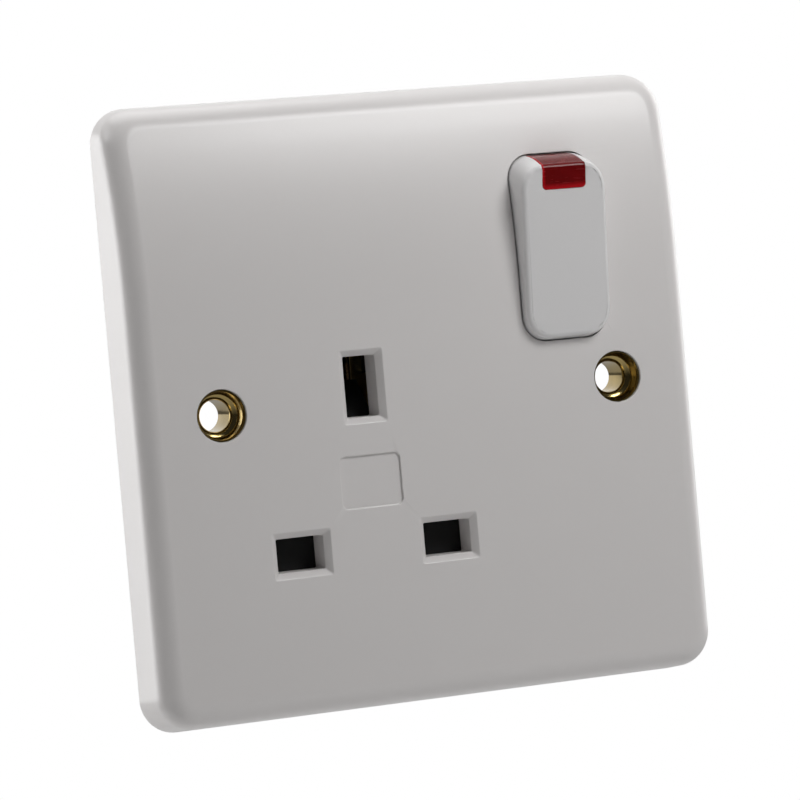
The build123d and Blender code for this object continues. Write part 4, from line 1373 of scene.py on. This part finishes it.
resistor_foot = (0.0261, 0.0, 0.0300)
resistor_front = -0.0010
resistor_back = 0.0040
resistor = turned(
    "resistor_body",
    resistor_foot,
    "Y",
    (
        (0.0004, resistor_front),
        (0.0009, -0.00085),
        (0.0011, -0.0005),
        (0.0011, 0.0003),
        (0.00095, 0.0006),
        (0.00095, 0.0024),
        (0.0011, 0.0027),
        (0.0011, 0.0035),
        (0.0009, 0.00385),
        (0.0004, resistor_back),
    ),
    steps=40,
)
soften(resistor, 0)
banded, nodes, links, shader = blank("banded_lacquer", {"Roughness": 0.35})
place = nodes.new("ShaderNodeTexCoord")
reach = nodes.new("ShaderNodeSeparateXYZ")
along = remap(nodes, resistor_front, resistor_back)
bands = nodes.new("ShaderNodeValToRGB")
bands.color_ramp.interpolation = "CONSTANT"
lacquer = (0.42, 0.30, 0.17, 1)
bands.color_ramp.elements[0].color = lacquer
bands.color_ramp.elements[1].position = 0.14
bands.color_ramp.elements[1].color = (0.09, 0.035, 0.015, 1)
for position, colour in (
    (0.22, lacquer),
    (0.36, (0.02, 0.16, 0.05, 1)),
    (0.43, lacquer),
    (0.52, (0.55, 0.40, 0.03, 1)),
    (0.59, lacquer),
    (0.78, (0.45, 0.31, 0.08, 1)),
    (0.86, lacquer),
):
    band = bands.color_ramp.elements.new(position)
    band.color = colour
join(
    links,
    (place.outputs["Object"], reach.inputs["Vector"]),
    (reach.outputs["Y"], along.inputs["Value"]),
    (along.outputs["Result"], bands.inputs["Fac"]),
    (bands.outputs["Color"], shader.inputs["Base Color"]),
)
finish(resistor, banded)
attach(resistor, "housing")
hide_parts("neon_resistor")

lead_wire = 0.0003
lead_bend = 0.0005
strap_depth = 0.0080
link_depth = 0.0052
tinned_wire = metal("tinned_wire", (0.62, 0.61, 0.59), 0.28, (1, 1, 1), 0.15, 0.05)
strap_x = 0.0179
foot_x, _, foot_z = resistor_foot
lead_paths = (
    (
        "lead_to_strap",
        ((lamp_x - lamp_half, lamp_y, lamp_z), (strap_x, lamp_y, lamp_z), (strap_x, strap_depth, lamp_z)),
    ),
    (
        "lead_to_resistor",
        (
            (lamp_x + lamp_half, lamp_y, lamp_z),
            (foot_x, lamp_y, lamp_z),
            (foot_x, lamp_y, foot_z),
            (foot_x, resistor_front, foot_z),
        ),
    ),
    ("lead_to_link", ((foot_x, resistor_back, foot_z), (foot_x, link_depth, foot_z))),
)
for name, corners in lead_paths:
    route = [corners[0]]
    for before, corner, after in zip(corners, corners[1:], corners[2:]):
        for other in (before, after):
            away = (Vector(other) - Vector(corner)).normalized() * lead_bend
            route += [tuple(Vector(corner) + away)] + ([corner] if other is before else [])
    route.append(corners[-1])
    wire = bpy.data.curves.new(name, "CURVE")
    wire.dimensions = "3D"
    line = wire.splines.new("NURBS")
    line.points.add(len(route) - 1)
    for point, spot in zip(line.points, route):
        point.co = (*spot, 1)
    line.order_u = 3
    line.use_endpoint_u = True
    wire.bevel_depth = lead_wire
    wire.bevel_resolution = 4
    wire.use_fill_caps = True
    lead = bpy.data.objects.new(name, wire)
    bpy.context.scene.collection.objects.link(lead)
    alone(lead)
    bpy.ops.object.convert(target="MESH")
    lead = bpy.context.object
    bpy.ops.object.shade_smooth_by_angle(angle=math.radians(50))
    finish(lead, tinned_wire)
    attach(lead, "housing")
    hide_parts("lamp_leads")
